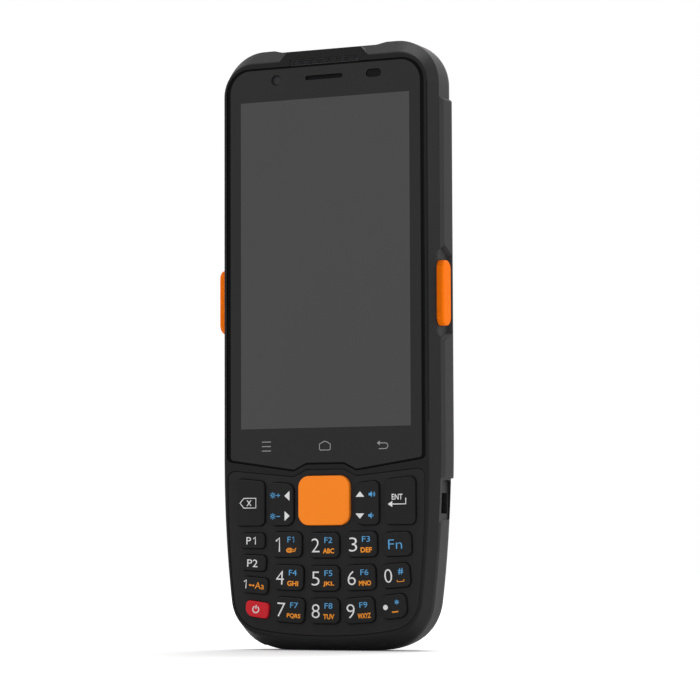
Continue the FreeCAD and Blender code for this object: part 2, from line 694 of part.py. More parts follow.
def keypad_mat(keys):
    """The rubber mat between keys and board, with a rim that stands on the board."""
    outer = plate_path(MAT_IN)
    sheet = slab(outer, MAT_FRONT_T, MAT_FRONT_T + MAT_T)
    ring = slab(outer, MAT_FRONT_T, BOARD_FRONT_T - SEAT).cut(
        slab(plate_path(MAT_IN + MAT_RIM_W), MAT_FRONT_T - 1, BOARD_FRONT_T + 1))
    mat = fused([sheet, ring])
    stems = [peg(x, z, STEM_R + STEM_FIT, 0, BODY_T) for _, _, spots in keys.values() for x, z in spots]
    return carve(mat, stems + [boss_clearance(0, BODY_T)])


def keypad_board():
    """The circuit board under the mat."""
    board = slab(plate_path(MAT_IN), BOARD_FRONT_T, BOARD_BACK_T)
    return carve(board, [boss_clearance(0, BODY_T)])


def key_domes(keys):
    """One metal snap dome under each stem."""
    domes = []
    for _, _, spots in keys.values():
        for x, z in spots:
            wires = []
            for t, r in ((BOARD_FRONT_T, DOME_R), (BOARD_FRONT_T - DOME_H + SEAT, DOME_R / 2)):
                ring = [point(x + r * math.cos(a), t, z + r * math.sin(a))
                        for a in (math.pi / 8 + k * math.pi / 4 for k in range(8))]
                wires.append(Part.makePolygon(ring + ring[:1]))
            domes.append(Part.makeLoft(wires, True, True))
    return Part.makeCompound(domes)


def top_dip():
    """The space over the lowered middle of the top end."""
    path = loop([(DIP_HALF_LOW, DIP_Z, 1.0), (DIP_HALF_TOP, BODY_TOP_Z, 0.01),
                 (DIP_HALF_TOP, BODY_TOP_Z + 5, 0.01), (-DIP_HALF_TOP, BODY_TOP_Z + 5, 0.01),
                 (-DIP_HALF_TOP, BODY_TOP_Z, 0.01), (-DIP_HALF_LOW, DIP_Z, 1.0)])
    return slab(path, -5, BODY_T + 5)


def trigger_solid(grow, x0, x1, side):
    """A pill-shaped bar that points sideways out of the device, grown by a clearance."""
    w, length = TRIGGER_W + 2 * grow, TRIGGER_L + 2 * grow
    r = w / 2 - 0.3
    y, z = FRONT_Y + TRIGGER_T, TRIGGER_Z
    bar = Part.makeBox(x1 - x0, w, length, FreeCAD.Vector(x0, y - w / 2, z - length / 2))
    bar = bar.makeFillet(r, [e for e in bar.Edges if e.BoundBox.XLength > x1 - x0 - 0.01])
    return bar if side > 0 else bar.mirror(FreeCAD.Vector(0, 0, 0), FreeCAD.Vector(1, 0, 0))


def scoop(side):
    """The pointed hollow round a side trigger."""
    floor_x = BODY_HALF_W - SCOOP_DEPTH
    spots = [(0, SCOOP_HALF_L), (SCOOP_HALF_W, SCOOP_SHOULDER), (SCOOP_HALF_W, -SCOOP_SHOULDER),
             (0, -SCOOP_HALF_L), (-SCOOP_HALF_W, -SCOOP_SHOULDER), (-SCOOP_HALF_W, SCOOP_SHOULDER)]
    spread = 1.25
    wires = []
    for x, k in ((floor_x, 1.0), (floor_x + 2, spread)):
        corners = [FreeCAD.Vector(side * x, FRONT_Y + TRIGGER_T + dt * k, TRIGGER_Z + dz + (k - 1) * 4 * dz / abs(dz))
                   for dt, dz in spots]
        wires.append(Part.makePolygon(corners + corners[:1]))
    return Part.makeLoft(wires, True, True)


def front_housing(keys):
    """The front shell: rim and bevel outside, seats for the glass and the keypad plate inside."""
    shell = Part.makeLoft([wire(rim_path(), 0), wire(body_path(), SEAM_T)], True, True)
    shell = shell.makeFillet(RIM_EDGE_R, edges_at(shell, 0))
    brow = slab(loop([(BROW_HALF_LOW, RIM_TOP_Z - 1.5, 0.3), (BROW_HALF_LOW, RIM_TOP_Z - 0.3, 0.6),
                      (BROW_HALF_TOP, BODY_TOP_Z - BROW_DROP, 0.6),
                      (-BROW_HALF_TOP, BODY_TOP_Z - BROW_DROP, 0.6),
                      (-BROW_HALF_LOW, RIM_TOP_Z - 0.3, 0.6), (-BROW_HALF_LOW, RIM_TOP_Z - 1.5, 0.3)]),
                0, SEAM_T)
    shell = fused([shell, brow]).cut(top_dip())
    cavity = slab(body_path(WALL, TOP_WALL), DECK_BACK_T, SEAM_T + 1)
    window = slab(loop([(DISPLAY_HALF_W + DISPLAY_FIT, DISPLAY_LOW_Z - DISPLAY_FIT, 0.5),
                        (DISPLAY_HALF_W + DISPLAY_FIT, DISPLAY_TOP_Z + DISPLAY_FIT, 0.5),
                        (-DISPLAY_HALF_W - DISPLAY_FIT, DISPLAY_TOP_Z + DISPLAY_FIT, 0.5),
                        (-DISPLAY_HALF_W - DISPLAY_FIT, DISPLAY_LOW_Z - DISPLAY_FIT, 0.5)]), 0, SEAM_T)
    cuts = [cavity, window,
            slab(glass_path(GLASS_FIT), -1, LEDGE_T),
            slab(plate_path(-PLATE_FIT), -1, LEDGE_T),
            slab(plate_path(PLATE_LEDGE), -1, SEAM_T),
            grille_seat(), front_ports(DISPLAY_FIT, -1, SEAM_T)]
    for side in (-1, 1):
        cuts.append(scoop(side))
        cuts.append(trigger_solid(TRIGGER_FIT, INNER_HALF_W - 3, BODY_HALF_W + 5, side))
        cuts.append(trigger_solid(TRIGGER_FLANGE + TRIGGER_FIT, trigger_room_x(), INNER_HALF_W, side))
    shell = carve(shell, cuts)
    bosses = [peg(x, z, BOSS_R, DECK_BACK_T - (BOSS_TOP_JOIN if z > PLATE_TOP_Z else 0.0), BOSS_JOIN_T - SEAT)
              for x, z in screw_places()]
    bosses += [block(x - BOSS_R * 0.7, x + BOSS_R * 0.7, DECK_BACK_T, SEAM_T - 0.2, WALL - 0.5, z)
               for x, z in screw_places() if z < PLATE_TOP_Z]
    shell = shell.multiFuse(bosses)
    return carve(shell, [peg(x, z, SCREW_R + SCREW_FIT, DECK_BACK_T + 0.4, BODY_T) for x, z in screw_places()])


def grille_seat():
    """The slot in the brow for the loudspeaker grille, and the sound way behind it."""
    z0, z1 = GRILLE_Z - GRILLE_H / 2, GRILLE_Z + GRILLE_H / 2
    front = block(-GRILLE_W / 2 - 0.1, GRILLE_W / 2 + 0.1, -1, GRILLE_SINK + GRILLE_T + SEAT,
                  GLASS_TOP_Z, z1 + 0.1)
    way = block(-GRILLE_W / 2 + 0.8, GRILLE_W / 2 - 0.8, -1, SEAM_T, z0 + 0.35, z1 - 0.3)
    return front.fuse(way)


def speaker_grille():
    """A bar with rows of small sound holes."""
    z0 = GRILLE_Z - GRILLE_H / 2
    bar = block(-GRILLE_W / 2, GRILLE_W / 2, GRILLE_SINK, GRILLE_SINK + GRILLE_T, z0, z0 + GRILLE_H)
    bar = bar.makeFillet(0.3, [e for e in bar.Edges if e.BoundBox.YLength > GRILLE_T - 0.01])
    columns = int((GRILLE_W - 1.2) / GRILLE_PITCH)
    row_pitch = GRILLE_H / (GRILLE_ROWS + 0.3)
    holes = []
    for row in range(GRILLE_ROWS):
        z = GRILLE_Z + (row - (GRILLE_ROWS - 1) / 2) * row_pitch
        for column in range(columns):
            x = (column - (columns - 1) / 2 + (row % 2) / 2 - 0.25) * GRILLE_PITCH
            holes.append(peg(x, z, GRILLE_HOLE_R, GRILLE_SINK - 1, GRILLE_SINK + GRILLE_T + 1))
    return carve(bar, holes)


def front_ports(grow, t0, t1):
    """The earpiece slot, camera hole and light sensor hole, as solids to cut."""
    ear = slab(box_path(0, EAR_Z, EAR_W + 2 * grow, EAR_H + 2 * grow, (EAR_H / 2 + grow) * 0.95), t0, t1)
    eye = peg(CAMERA_X, EAR_Z, CAMERA_R + grow, t0, t1)
    cell = slab(box_path(SENSOR_X, EAR_Z, SENSOR_W + 2 * grow, SENSOR_H + 2 * grow,
                         (SENSOR_H / 2 + grow) * 0.95), t0, t1)
    return Part.makeCompound([ear, eye, cell])


def touch_glass():
    """The cover glass, with its edge softened and three openings over the display."""
    glass = slab(glass_path(), GLASS_SINK, GLASS_BACK_T)
    glass = glass.makeFillet(0.25, edges_at(glass, GLASS_SINK))
    return carve(glass, [front_ports(0, -1, LEDGE_T + 1)])


def display_module():
    """The display, whose lit area shows through the glass."""
    return slab(box_path(0, (DISPLAY_LOW_Z + DISPLAY_TOP_Z) / 2, 2 * DISPLAY_HALF_W,
                         DISPLAY_TOP_Z - DISPLAY_LOW_Z, 0.4), DISPLAY_FRONT_T, DISPLAY_BACK_T)


def front_camera():
    """The camera module behind the glass, with its barrel in the glass's hole."""
    barrel = peg(CAMERA_X, EAR_Z, CAMERA_R - LENS_FIT, GLASS_SINK + 0.35, DECK_BACK_T + 0.5)
    half = CAMERA_BODY_W / 2
    body = block(CAMERA_X - half, CAMERA_X + half, DECK_BACK_T + SEAT, DECK_BACK_T + CAMERA_BODY_T,
                 EAR_Z - half, EAR_Z + half)
    return fused([barrel, body])


def light_sensor():
    """The light pipe and sensor behind the glass."""
    pipe = slab(box_path(SENSOR_X, EAR_Z, SENSOR_W - 2 * LENS_FIT, SENSOR_H - 2 * LENS_FIT,
                         (SENSOR_H / 2 - LENS_FIT) * 0.95), GLASS_SINK + 0.3, DECK_BACK_T + 0.5)
    body = block(SENSOR_X - SENSOR_BODY_W / 2, SENSOR_X + SENSOR_BODY_W / 2, DECK_BACK_T + SEAT,
                 DECK_BACK_T + SENSOR_BODY_T, EAR_Z - SENSOR_BODY_H / 2, EAR_Z + SENSOR_BODY_H / 2)
    return fused([pipe, body])


def earpiece():
    """The receiver behind the earpiece slot."""
    return slab(box_path(0, EAR_Z, EARPIECE_W, EARPIECE_H, EARPIECE_H / 3), DECK_BACK_T + SEAT, EARPIECE_BACK_T)


def earpiece_mesh():
    """The dark gauze that fills the earpiece slot."""
    t = GLASS_SINK + 0.45
    gauze = slab(box_path(0, EAR_Z, EAR_W - 2 * LENS_FIT, EAR_H - 2 * LENS_FIT,
                          (EAR_H / 2 - LENS_FIT) * 0.95), t, t + MESH_T)
    legs = [block(x - 0.3, x + 0.3, t, DECK_BACK_T, EAR_Z - 0.3, EAR_Z + 0.3)
            for x in (-EAR_W / 3, EAR_W / 3)]
    return fused([gauze, *legs])


def loudspeaker():
    """The loudspeaker box behind the sound way."""
    top = CAVITY_TOP_Z - 0.2
    return block(-SPEAKER_W / 2, SPEAKER_W / 2, SPEAKER_FRONT_T, SPEAKER_BACK_T, top - SPEAKER_H, top)


def middle_frame():
    """The metal sheet that carries the display and the main board."""
    sheet = slab(box_path(0, (FRAME_LOW_Z + FRAME_TOP_Z) / 2, 2 * FRAME_HALF_W, FRAME_TOP_Z - FRAME_LOW_Z, FRAME_R),
                 FRAME_FRONT_T, FRAME_BACK_T)
    cuts = [boss_clearance(0, BODY_T)]
    for side in (-1, 1):
        cuts.append(trigger_solid(TRIGGER_FLANGE + TRIGGER_FIT, trigger_room_x(), BODY_HALF_W, side))
    return carve(sheet, cuts)


def main_board():
    """The main circuit board, behind the middle frame."""
    board = block(-MAIN_BOARD_HALF_W, MAIN_BOARD_HALF_W, MAIN_BOARD_FRONT_T, MAIN_BOARD_BACK_T,
                  MAIN_BOARD_LOW_Z, FRAME_TOP_Z)
    return carve(board, [boss_clearance(0, BODY_T)])


def shield_cans():
    """Metal cans soldered over the processor, memory and radio."""
    t0, t1 = MAIN_BOARD_BACK_T + 0.01, MAIN_BOARD_BACK_T + CAN_T
    z0 = MAIN_BOARD_LOW_Z
    return Part.makeCompound([block(x - w / 2, x + w / 2, t0, t1, z0 + up - h / 2, z0 + up + h / 2)
                              for x, up, w, h in CANS])


def trigger_inner_x():
    """Where the back of a side trigger rests, measured from the middle."""
    return INNER_HALF_W - TRIGGER_FIT - TRIGGER_FLANGE_T


def trigger_room_x():
    """How far in a pressed trigger's flange reaches, with its clearance."""
    return trigger_inner_x() - TRIGGER_TRAVEL - 0.2


def trigger(side):
    """A side trigger: the pill outside, and the flange that keeps it in."""
    out_x = BODY_HALF_W + TRIGGER_PROUD
    pill = trigger_solid(0, trigger_inner_x(), out_x, 1)
    pill = pill.makeFillet(TRIGGER_EDGE_R, [e for e in pill.Edges if e.BoundBox.XMin > out_x - 0.01])
    flange = trigger_solid(TRIGGER_FLANGE, trigger_inner_x(), trigger_inner_x() + TRIGGER_FLANGE_T, 1)
    whole = fused([pill, flange])
    return whole if side > 0 else whole.mirror(FreeCAD.Vector(0, 0, 0), FreeCAD.Vector(1, 0, 0))


def side_switches():
    """The small push switches behind both triggers, each with its plunger."""
    switches = []
    x1 = trigger_inner_x() - TRIGGER_TRAVEL - 0.1
    x0 = BATTERY_HALF_W + BATTERY_FIT + BAY_WALL + 0.15
    for side in (-1, 1):
        body = block(x0, x1 - 0.4, TRIGGER_T - SWITCH_W / 2, TRIGGER_T + SWITCH_W / 2,
                     TRIGGER_Z - SWITCH_L / 2, TRIGGER_Z + SWITCH_L / 2)
        plunger = Part.makeCylinder(1.0, 0.5, FreeCAD.Vector(x1 - 0.5, FRONT_Y + TRIGGER_T, TRIGGER_Z),
                                    FreeCAD.Vector(1, 0, 0))
        whole = fused([body, plunger])
        switches.append(whole if side > 0 else
                        whole.mirror(FreeCAD.Vector(0, 0, 0), FreeCAD.Vector(1, 0, 0)))
    return Part.makeCompound(switches)


def rear_outer(grow=0.0):
    """The outside of the body behind the seam, grown by a distance, with its back edge rounded."""
    solid = slab(body_path(-grow), SEAM_T + SHELL_GAP, BODY_T + grow)
    return solid.makeFillet(BACK_EDGE_R + grow, edges_at(solid, BODY_T + grow))


def slot_parts(side):
    """The two legs of a wrist strap slot: in from the side, and out of the back."""
    z0, z1 = SLOT_LOW_Z, SLOT_LOW_Z + SLOT_H
    into = block(SLOT_IN_X, BODY_HALF_W + 5, SLOT_FRONT_T, SLOT_FRONT_T + SLOT_D, z0, z1)
    out = block(SLOT_IN_X, SLOT_IN_X + SLOT_BACK_W, SLOT_FRONT_T, BODY_T + 5, z0, z1)
    way = fused([into, out])
    hollow = block(BODY_HALF_W - HOLLOW_DEPTH - 0.5, BODY_HALF_W + 5, SEAM_T + 1.2, BACK_WALL_T - 1.5,
                   HOLLOW_LOW_Z, HOLLOW_TOP_Z)
    hollow = hollow.makeFillet(0.9, [e for e in hollow.Edges if e.BoundBox.XLength > 1])
    whole = way.fuse(hollow)
    return whole if side > 0 else whole.mirror(FreeCAD.Vector(0, 0, 0), FreeCAD.Vector(1, 0, 0))


def slot_walls(side):
    """The box inside the housing that closes a wrist strap slot off from the electronics."""
    wall = block(SLOT_IN_X - SLOT_WALL, INNER_HALF_W + 0.5, SLOT_FRONT_T - SLOT_WALL, BACK_WALL_T + 0.5,
                 SLOT_LOW_Z - SLOT_WALL, SLOT_LOW_Z + SLOT_H + SLOT_WALL)
    wall = wall.common(slab(body_path(WALL / 2), 0, BACK_WALL_T + 0.6))
    return wall if side > 0 else wall.mirror(FreeCAD.Vector(0, 0, 0), FreeCAD.Vector(1, 0, 0))


def lower_band():
    """The raised band round the lower corners, just behind the seam."""
    loft = Part.makeLoft([wire(body_path(), SEAM_T + SHELL_GAP), wire(body_path(-BAND_PROUD), SEAM_T + 0.8)],
                         True, True)
    ring = loft.fuse(slab(body_path(-BAND_PROUD), SEAM_T + 0.8, BAND_BACK_T))
    ring = ring.cut(slab(body_path(WALL / 2), 0, BODY_T))
    keep = block(-BODY_HALF_W - 3, BODY_HALF_W + 3, 0, BODY_T, BAND_LOW_Z, BAND_TOP_Z)
    return ring.common(keep)


def cover_path(grow=0.0):
    """The outline of the battery cover."""
    return box_path(0, (COVER_LOW_Z + COVER_TOP_Z) / 2, 2 * (COVER_HALF_W + grow),
                    COVER_TOP_Z - COVER_LOW_Z + 2 * grow, COVER_R + grow)


def bay_path(grow=0.0):
    """The outline of the battery bay."""
    g = BATTERY_FIT + grow
    return box_path(0, (BATTERY_LOW_Z + BATTERY_TOP_Z) / 2, 2 * (BATTERY_HALF_W + g),
                    BATTERY_TOP_Z - BATTERY_LOW_Z + 2 * g, BATTERY_R + grow)


def window_z():
    """Height of the scan window's outer face."""
    return DIP_Z - WINDOW_SINK


def rear_housing():
    """The rear shell, with the battery bay, the strap slots, the scan window's seat and the screw bosses."""
    shell = rear_outer().cut(slab(body_path(WALL, TOP_WALL), 0, BACK_WALL_T))
    bay = slab(bay_path(BAY_WALL), BAY_FLOOR_T, BACK_WALL_T + 0.2)
    bosses = [peg(x, z, BOSS_R, BOSS_JOIN_T + SEAT, BACK_WALL_T + 0.2) for x, z in screw_places()]
    foot_t = BOARD_BACK_T + SEAT
    posts = [peg(side * x, z, BOARD_POST_R, foot_t, BACK_WALL_T + 0.2) for x, z in BOARD_POSTS
             for side in (-1, 1)]
    post_x = MAIN_BOARD_HALF_W + FRAME_POST_R + 0.15
    frame_posts = [peg(side * post_x, z, FRAME_POST_R, FRAME_BACK_T + SEAT, BACK_WALL_T + 0.2)
                   for z in (FRAME_LOW_Z + FRAME_POST_ABOVE, FRAME_TOP_Z - FRAME_POST_FROM_END)
                   for side in (-1, 1)]
    frame_posts += [peg(side * CHARGE_POST_X, charge_board_z() + CHARGE_POST_UP, FRAME_POST_R,
                        charge_board_t() + CHARGE_BOARD_T + SEAT, BACK_WALL_T + 0.2) for side in (-1, 1)]
    engine_bed = [block(side * ENGINE_W / 2 - 1, side * ENGINE_W / 2 + 1, ENGINE_BACK_T + SEAT,
                        BACK_WALL_T + 0.2, engine_low_z(), engine_low_z() + ENGINE_H) for side in (-1, 1)]
    walls = [slot_walls(side) for side in (-1, 1)]
    shell = fused([shell, bay, *bosses, *posts, *frame_posts, *engine_bed, *walls, lower_band()])
    cuts = [top_dip(), slab(bay_path(), BAY_FLOOR_T + BAY_FLOOR_THICK, BODY_T + 1),
            slab(cover_path(COVER_FIT), COVER_FRONT_T, BODY_T + 1),
            latch_notch(), scan_window_seat(), camera_seat(), flap_recess(), contact_slots(0.1),
            seal_ring(SEAT)]
    for x, z in screw_places():
        cuts.append(peg(x, z, SCREW_R + SCREW_FIT, 0, BODY_T + 1))
        cuts.append(peg(x, z, SCREW_HEAD_R + 0.15, head_t(), BODY_T + 1))
    for side in (-1, 1):
        cuts += [scoop(side), slot_parts(side),
                 trigger_solid(TRIGGER_FIT, INNER_HALF_W - 3, BODY_HALF_W + 5, side),
                 trigger_solid(TRIGGER_FLANGE + TRIGGER_FIT, trigger_room_x(), INNER_HALF_W, side)]
    return carve(shell, cuts)


def head_t():
    """Depth at which a screw's head seats."""
    return BODY_T - SCREW_SINK - SCREW_HEAD_T


def housing_screws():
    """The six housing screws, with hexagon sockets."""
    screws = []
    for x, z in screw_places():
        shank = peg(x, z, SCREW_R, DECK_BACK_T + 0.8, head_t() + 0.1)
        head = peg(x, z, SCREW_HEAD_R, head_t(), head_t() + SCREW_HEAD_T)
        corners = [point(x + HEX_KEY_R * math.cos(a), head_t() + SCREW_HEAD_T - HEX_KEY_DEEP,
                         z + HEX_KEY_R * math.sin(a)) for a in [math.radians(60 * k) for k in range(6)]]
        socket = Part.Face(Part.makePolygon(corners + corners[:1])).extrude(FreeCAD.Vector(0, 2, 0))
        screws.append(fused([shank, head]).cut(socket))
    return Part.makeCompound(screws)


def seal_ring(grow):
    """The ring under the cover's edge, as a solid; grown, it is the groove for it."""
    mid = (BATTERY_HALF_W + BATTERY_FIT + COVER_HALF_W) / 2
    extra = mid - BATTERY_HALF_W - BATTERY_FIT
    t0 = COVER_FRONT_T - SEAL_T - SEAT
    outer = slab(bay_path(extra + SEAL_W / 2 + grow), t0 - grow, COVER_FRONT_T - SEAT + grow)
    return outer.cut(slab(bay_path(extra - SEAL_W / 2 - grow), 0, BODY_T))


def battery_pack():
    """The battery, with its edges rounded."""
    t0 = BAY_FLOOR_T + BAY_FLOOR_THICK + SEAT
    pack = slab(bay_path(-BATTERY_FIT), t0, COVER_FRONT_T - 0.1)
    return pack.makeFillet(0.8, edges_at(pack, COVER_FRONT_T - 0.1))


def contact_places():
    """Across places of the battery contacts."""
    return [(k - (CONTACT_COUNT - 1) / 2) * CONTACT_PITCH for k in range(CONTACT_COUNT)]


def contact_slots(grow):
    """Solids of the battery contacts, or of their slots when grown, through the bay's upper wall."""
    z = BATTERY_TOP_Z
    t = BAY_FLOOR_T + BAY_FLOOR_THICK + 1.2
    return Part.makeCompound([block(x - CONTACT_W / 2 - grow, x + CONTACT_W / 2 + grow, t - grow,
                                    t + 1.6 + grow, z + 0.03 - grow, z + BATTERY_FIT + BAY_WALL + 1.0 + grow)
                              for x in contact_places()])


def latch_path(grow=0.0):
    """The outline of the latch's thumb piece and tongue."""
    z1 = COVER_LOW_Z + LATCH_H + 1.2
    z0 = z1 - LATCH_H
    g = grow
    return both_sides(rounded([
        (0, COVER_LOW_Z - LATCH_TONGUE - g, 0), (LATCH_TONGUE_W / 2 + g, COVER_LOW_Z - LATCH_TONGUE - g, 0.5),
        (LATCH_TONGUE_W / 2 + g, z0 - g, 0.3), (LATCH_W / 2 + g, z0 - g, 0.8), (LATCH_W / 2 + g, z1 + g, 1.5),
        (0, z1 + g, 0)]))


def latch_room():
    """The space in the cover that the latch slides in."""
    stay = slab(latch_path(LATCH_FIT), COVER_FRONT_T + 0.5, BODY_T + 1)
    moved = stay.copy()
    moved.translate(FreeCAD.Vector(0, 0, LATCH_TRAVEL))
    return fused([stay, moved])


def latch_notch():
    """The notch in the housing that takes the latch's tongue."""
    g = 2 * LATCH_FIT
    return block(-LATCH_TONGUE_W / 2 - g, LATCH_TONGUE_W / 2 + g, COVER_FRONT_T, BODY_T + 1,
                 COVER_LOW_Z - LATCH_TONGUE - g, COVER_LOW_Z + 1)


def cover_latch():
    """The sliding latch, with ribs for the thumb."""
    t0 = COVER_FRONT_T + 0.5 + SEAT
    body = slab(latch_path(), t0, BODY_T - 0.1)
    top = COVER_LOW_Z + LATCH_H + 1.2
    grooves = [block(-LATCH_W / 2 + 2, LATCH_W / 2 - 2, BODY_T - 0.4, BODY_T + 1, top - 1.6 - k * 1.3,
                     top - 1.0 - k * 1.3) for k in range(3)]
    return carve(body, grooves)


def battery_cover():
    """The cover over the battery, with room for its latch."""
    cover = slab(cover_path(), COVER_FRONT_T, BODY_T)
    cover = cover.makeFillet(0.4, edges_at(cover, BODY_T))
    return cover.cut(latch_room())


def window_path(grow):
    """Half sizes of the scan window, grown by a clearance."""
    return WINDOW_W / 2 + grow, WINDOW_D / 2 + grow


def scan_window_seat():
    """The seat of the scan window and the light way below it."""
    hx, ht = window_path(0.1)
    lx, lt = window_path(-WINDOW_LIP)
    seat = block(-hx, hx, WINDOW_MID_T - ht, WINDOW_MID_T + ht, window_z() - WINDOW_T - SEAT, BODY_TOP_Z + 5)
    way = block(-lx, lx, WINDOW_MID_T - lt, WINDOW_MID_T + lt, CAVITY_TOP_Z - 2, BODY_TOP_Z)
    return fused([seat, way])


def scan_window():
    """The clear red-tinted window in the top end."""
    hx, ht = window_path(0)
    pane = block(-hx, hx, WINDOW_MID_T - ht, WINDOW_MID_T + ht, window_z() - WINDOW_T, window_z())
    return pane.makeFillet(0.8, [e for e in pane.Edges if e.BoundBox.ZLength > WINDOW_T - 0.01])


def engine_low_z():
    """Height of the scan engine's lower end."""
    return CAVITY_TOP_Z - 0.3 - ENGINE_H


def scan_engine():
    """The scan engine under the window, with its two lenses."""
    z0 = engine_low_z()
    body = block(-ENGINE_W / 2, ENGINE_W / 2, ENGINE_FRONT_T, ENGINE_BACK_T, z0, z0 + ENGINE_H - 0.8)
    lenses = [Part.makeCylinder(r, 1.0, point(x, WINDOW_MID_T, z0 + ENGINE_H - 1.2), FreeCAD.Vector(0, 0, 1))
              for x, r in ((-4.5, 2.2), (5.5, 1.6))]
    return fused([body, *lenses])


def camera_seat():
    """The holes in the back for the rear camera's glass and the flash."""
    lens_seat = peg(REAR_CAMERA_X, REAR_CAMERA_Z, REAR_CAMERA_R + 0.1, BODY_T - REAR_LENS_T - SEAT, BODY_T + 1)
    way = peg(REAR_CAMERA_X, REAR_CAMERA_Z, REAR_CAMERA_R - 1.0, BACK_WALL_T - 1, BODY_T + 1)
    flash = peg(REAR_CAMERA_X, FLASH_Z, FLASH_R + 0.1, BODY_T - 1.0, BODY_T + 1)
    glow = peg(REAR_CAMERA_X, FLASH_Z, FLASH_R - 0.7, BACK_WALL_T - 1, BODY_T + 1)
    return Part.makeCompound([fused([lens_seat, way]), fused([flash, glow])])


def rear_camera():
    """The rear camera module under its glass."""
    r = REAR_CAMERA_R - 0.5
    body = block(REAR_CAMERA_X - r, REAR_CAMERA_X + r, BACK_WALL_T - REAR_CAMERA_BODY_T, BACK_WALL_T - SEAT,
                 REAR_CAMERA_Z - r, REAR_CAMERA_Z + r)
    barrel = peg(REAR_CAMERA_X, REAR_CAMERA_Z, REAR_CAMERA_R - 1.2, BACK_WALL_T - 0.3, BODY_T - REAR_LENS_T - 0.15)
    return fused([body, barrel])


def rear_camera_glass():
    """The round glass over the rear camera."""
    t0 = BODY_T - REAR_LENS_T
    disc = peg(REAR_CAMERA_X, REAR_CAMERA_Z, REAR_CAMERA_R, t0, BODY_T - 0.1)
    return disc.makeFillet(0.2, edges_at(disc, BODY_T - 0.1))


def flash_lens():
    """The flash lens, with a stalk through the back wall."""
    disc = peg(REAR_CAMERA_X, FLASH_Z, FLASH_R, BODY_T - 0.95, BODY_T - 0.1)
    stalk = peg(REAR_CAMERA_X, FLASH_Z, FLASH_R - 0.8, BACK_WALL_T - 0.6, BODY_T - 0.5)
    return fused([disc, stalk])


def side_grip(side):
    """The rubber grip over the middle of one side, open round the trigger."""
    ramp = Part.makeLoft([wire(body_path(-0.05), SEAM_T + SHELL_GAP),
                          wire(body_path(-GRIP_PROUD), SEAM_T + GRIP_RAMP)], True, True)
    rest = slab(body_path(-GRIP_PROUD), SEAM_T + GRIP_RAMP, BODY_T + GRIP_PROUD)
    rest = rest.makeFillet(BACK_EDGE_R + GRIP_PROUD, edges_at(rest, BODY_T + GRIP_PROUD))
    lean = GRIP_PROUD * 1.5
    x0, x1 = BODY_HALF_W - 4, BODY_HALF_W
    keep = Part.makeLoft([Part.makePolygon([FreeCAD.Vector(side * x, FRONT_Y + t, z)
                                            for t, z in ((0, GRIP_LOW_Z + d), (GRIP_BACK_T - d, GRIP_LOW_Z + d),
                                                         (GRIP_BACK_T - d, GRIP_TOP_Z - d), (0, GRIP_TOP_Z - d),
                                                         (0, GRIP_LOW_Z + d))])
                          for x, d in ((x0, 0.0), (x1, 0.0), (x1 + GRIP_PROUD + 0.3, lean))], True, True)
    grip = ramp.fuse(rest).common(keep).cut(rear_outer())
    return carve(grip, [scoop(side), slot_parts(side)])


def socket_outline(grow, z0, z1):
    """A flat-sided round-ended bar round the charging socket's middle."""
    w, d = SOCKET_W + 2 * grow, SOCKET_D + 2 * grow
    bar = Part.makeBox(w, d, z1 - z0, point(-w / 2, SOCKET_MID_T - d / 2, z0))
    return bar.makeFillet(d / 2 - 0.1, [e for e in bar.Edges if e.BoundBox.ZLength > z1 - z0 - 0.01])


def flap_half():
    """Half of the charging cover's width and depth."""
    return FLAP_W / 2, FLAP_D / 2


def flap_recess():
    """The seat of the charging cover in the bottom end, and the socket's mouth above it."""
    hx, ht = flap_half()
    seat = block(-hx - FLAP_FIT, hx + FLAP_FIT, SOCKET_MID_T - ht - FLAP_FIT, SOCKET_MID_T + ht + FLAP_FIT,
                 -1, FLAP_RAISE + FLAP_T + 0.12)
    mouth = socket_outline(MOUTH_FIT, 0, SOCKET_LOW_Z + SOCKET_H)
    return seat.fuse(mouth)


def usb_socket():
    """The charging socket: a round-ended shell, open below, with a tongue inside."""
    z0, z1 = SOCKET_LOW_Z + FLAP_RAISE + FLAP_T, SOCKET_LOW_Z + SOCKET_H
    shell = socket_outline(0, z0, z1).cut(socket_outline(-SOCKET_WALL, z0 - 1, z1 - 0.8))
    tongue = block(-3.3, 3.3, SOCKET_MID_T - 0.35, SOCKET_MID_T + 0.35, z0 + 1.2, z1 - 0.5)
    return fused([shell, tongue])


def usb_flap():
    """The rubber charging cover: a plate that swings about its right end, with a short plug."""
    hx, ht = flap_half()
    r = FLAP_T / 2
    z0 = FLAP_RAISE
    plate = block(-hx, hx - r, SOCKET_MID_T - ht, SOCKET_MID_T + ht, z0, z0 + FLAP_T)
    roll = Part.makeCylinder(r, FLAP_D, point(hx - r, SOCKET_MID_T - ht, z0 + r), FreeCAD.Vector(0, 1, 0))
    plug = Part.makeBox(PLUG_W, PLUG_D, PLUG_H + 0.2, point(-PLUG_W / 2, SOCKET_MID_T - PLUG_D / 2,
                                                            z0 + FLAP_T - 0.2))
    lip = Part.makeCylinder(1.0, 0.6, point(-hx, SOCKET_MID_T, z0), FreeCAD.Vector(0, 0, 1))
    return fused([plate, roll, plug]).cut(lip)


def charge_board_z():
    """Height of the charging board's lower edge."""
    return SOCKET_LOW_Z + FLAP_RAISE + FLAP_T + 0.4


def charge_board_t():
    """Depth of the charging board's front."""
    return SOCKET_MID_T + SOCKET_D / 2 + SEAT


def charge_board():
    """The small board that carries the charging socket."""
    z, t = charge_board_z(), charge_board_t()
    return block(-CHARGE_BOARD_W / 2, CHARGE_BOARD_W / 2, t, t + CHARGE_BOARD_T, z, z + CHARGE_BOARD_H)


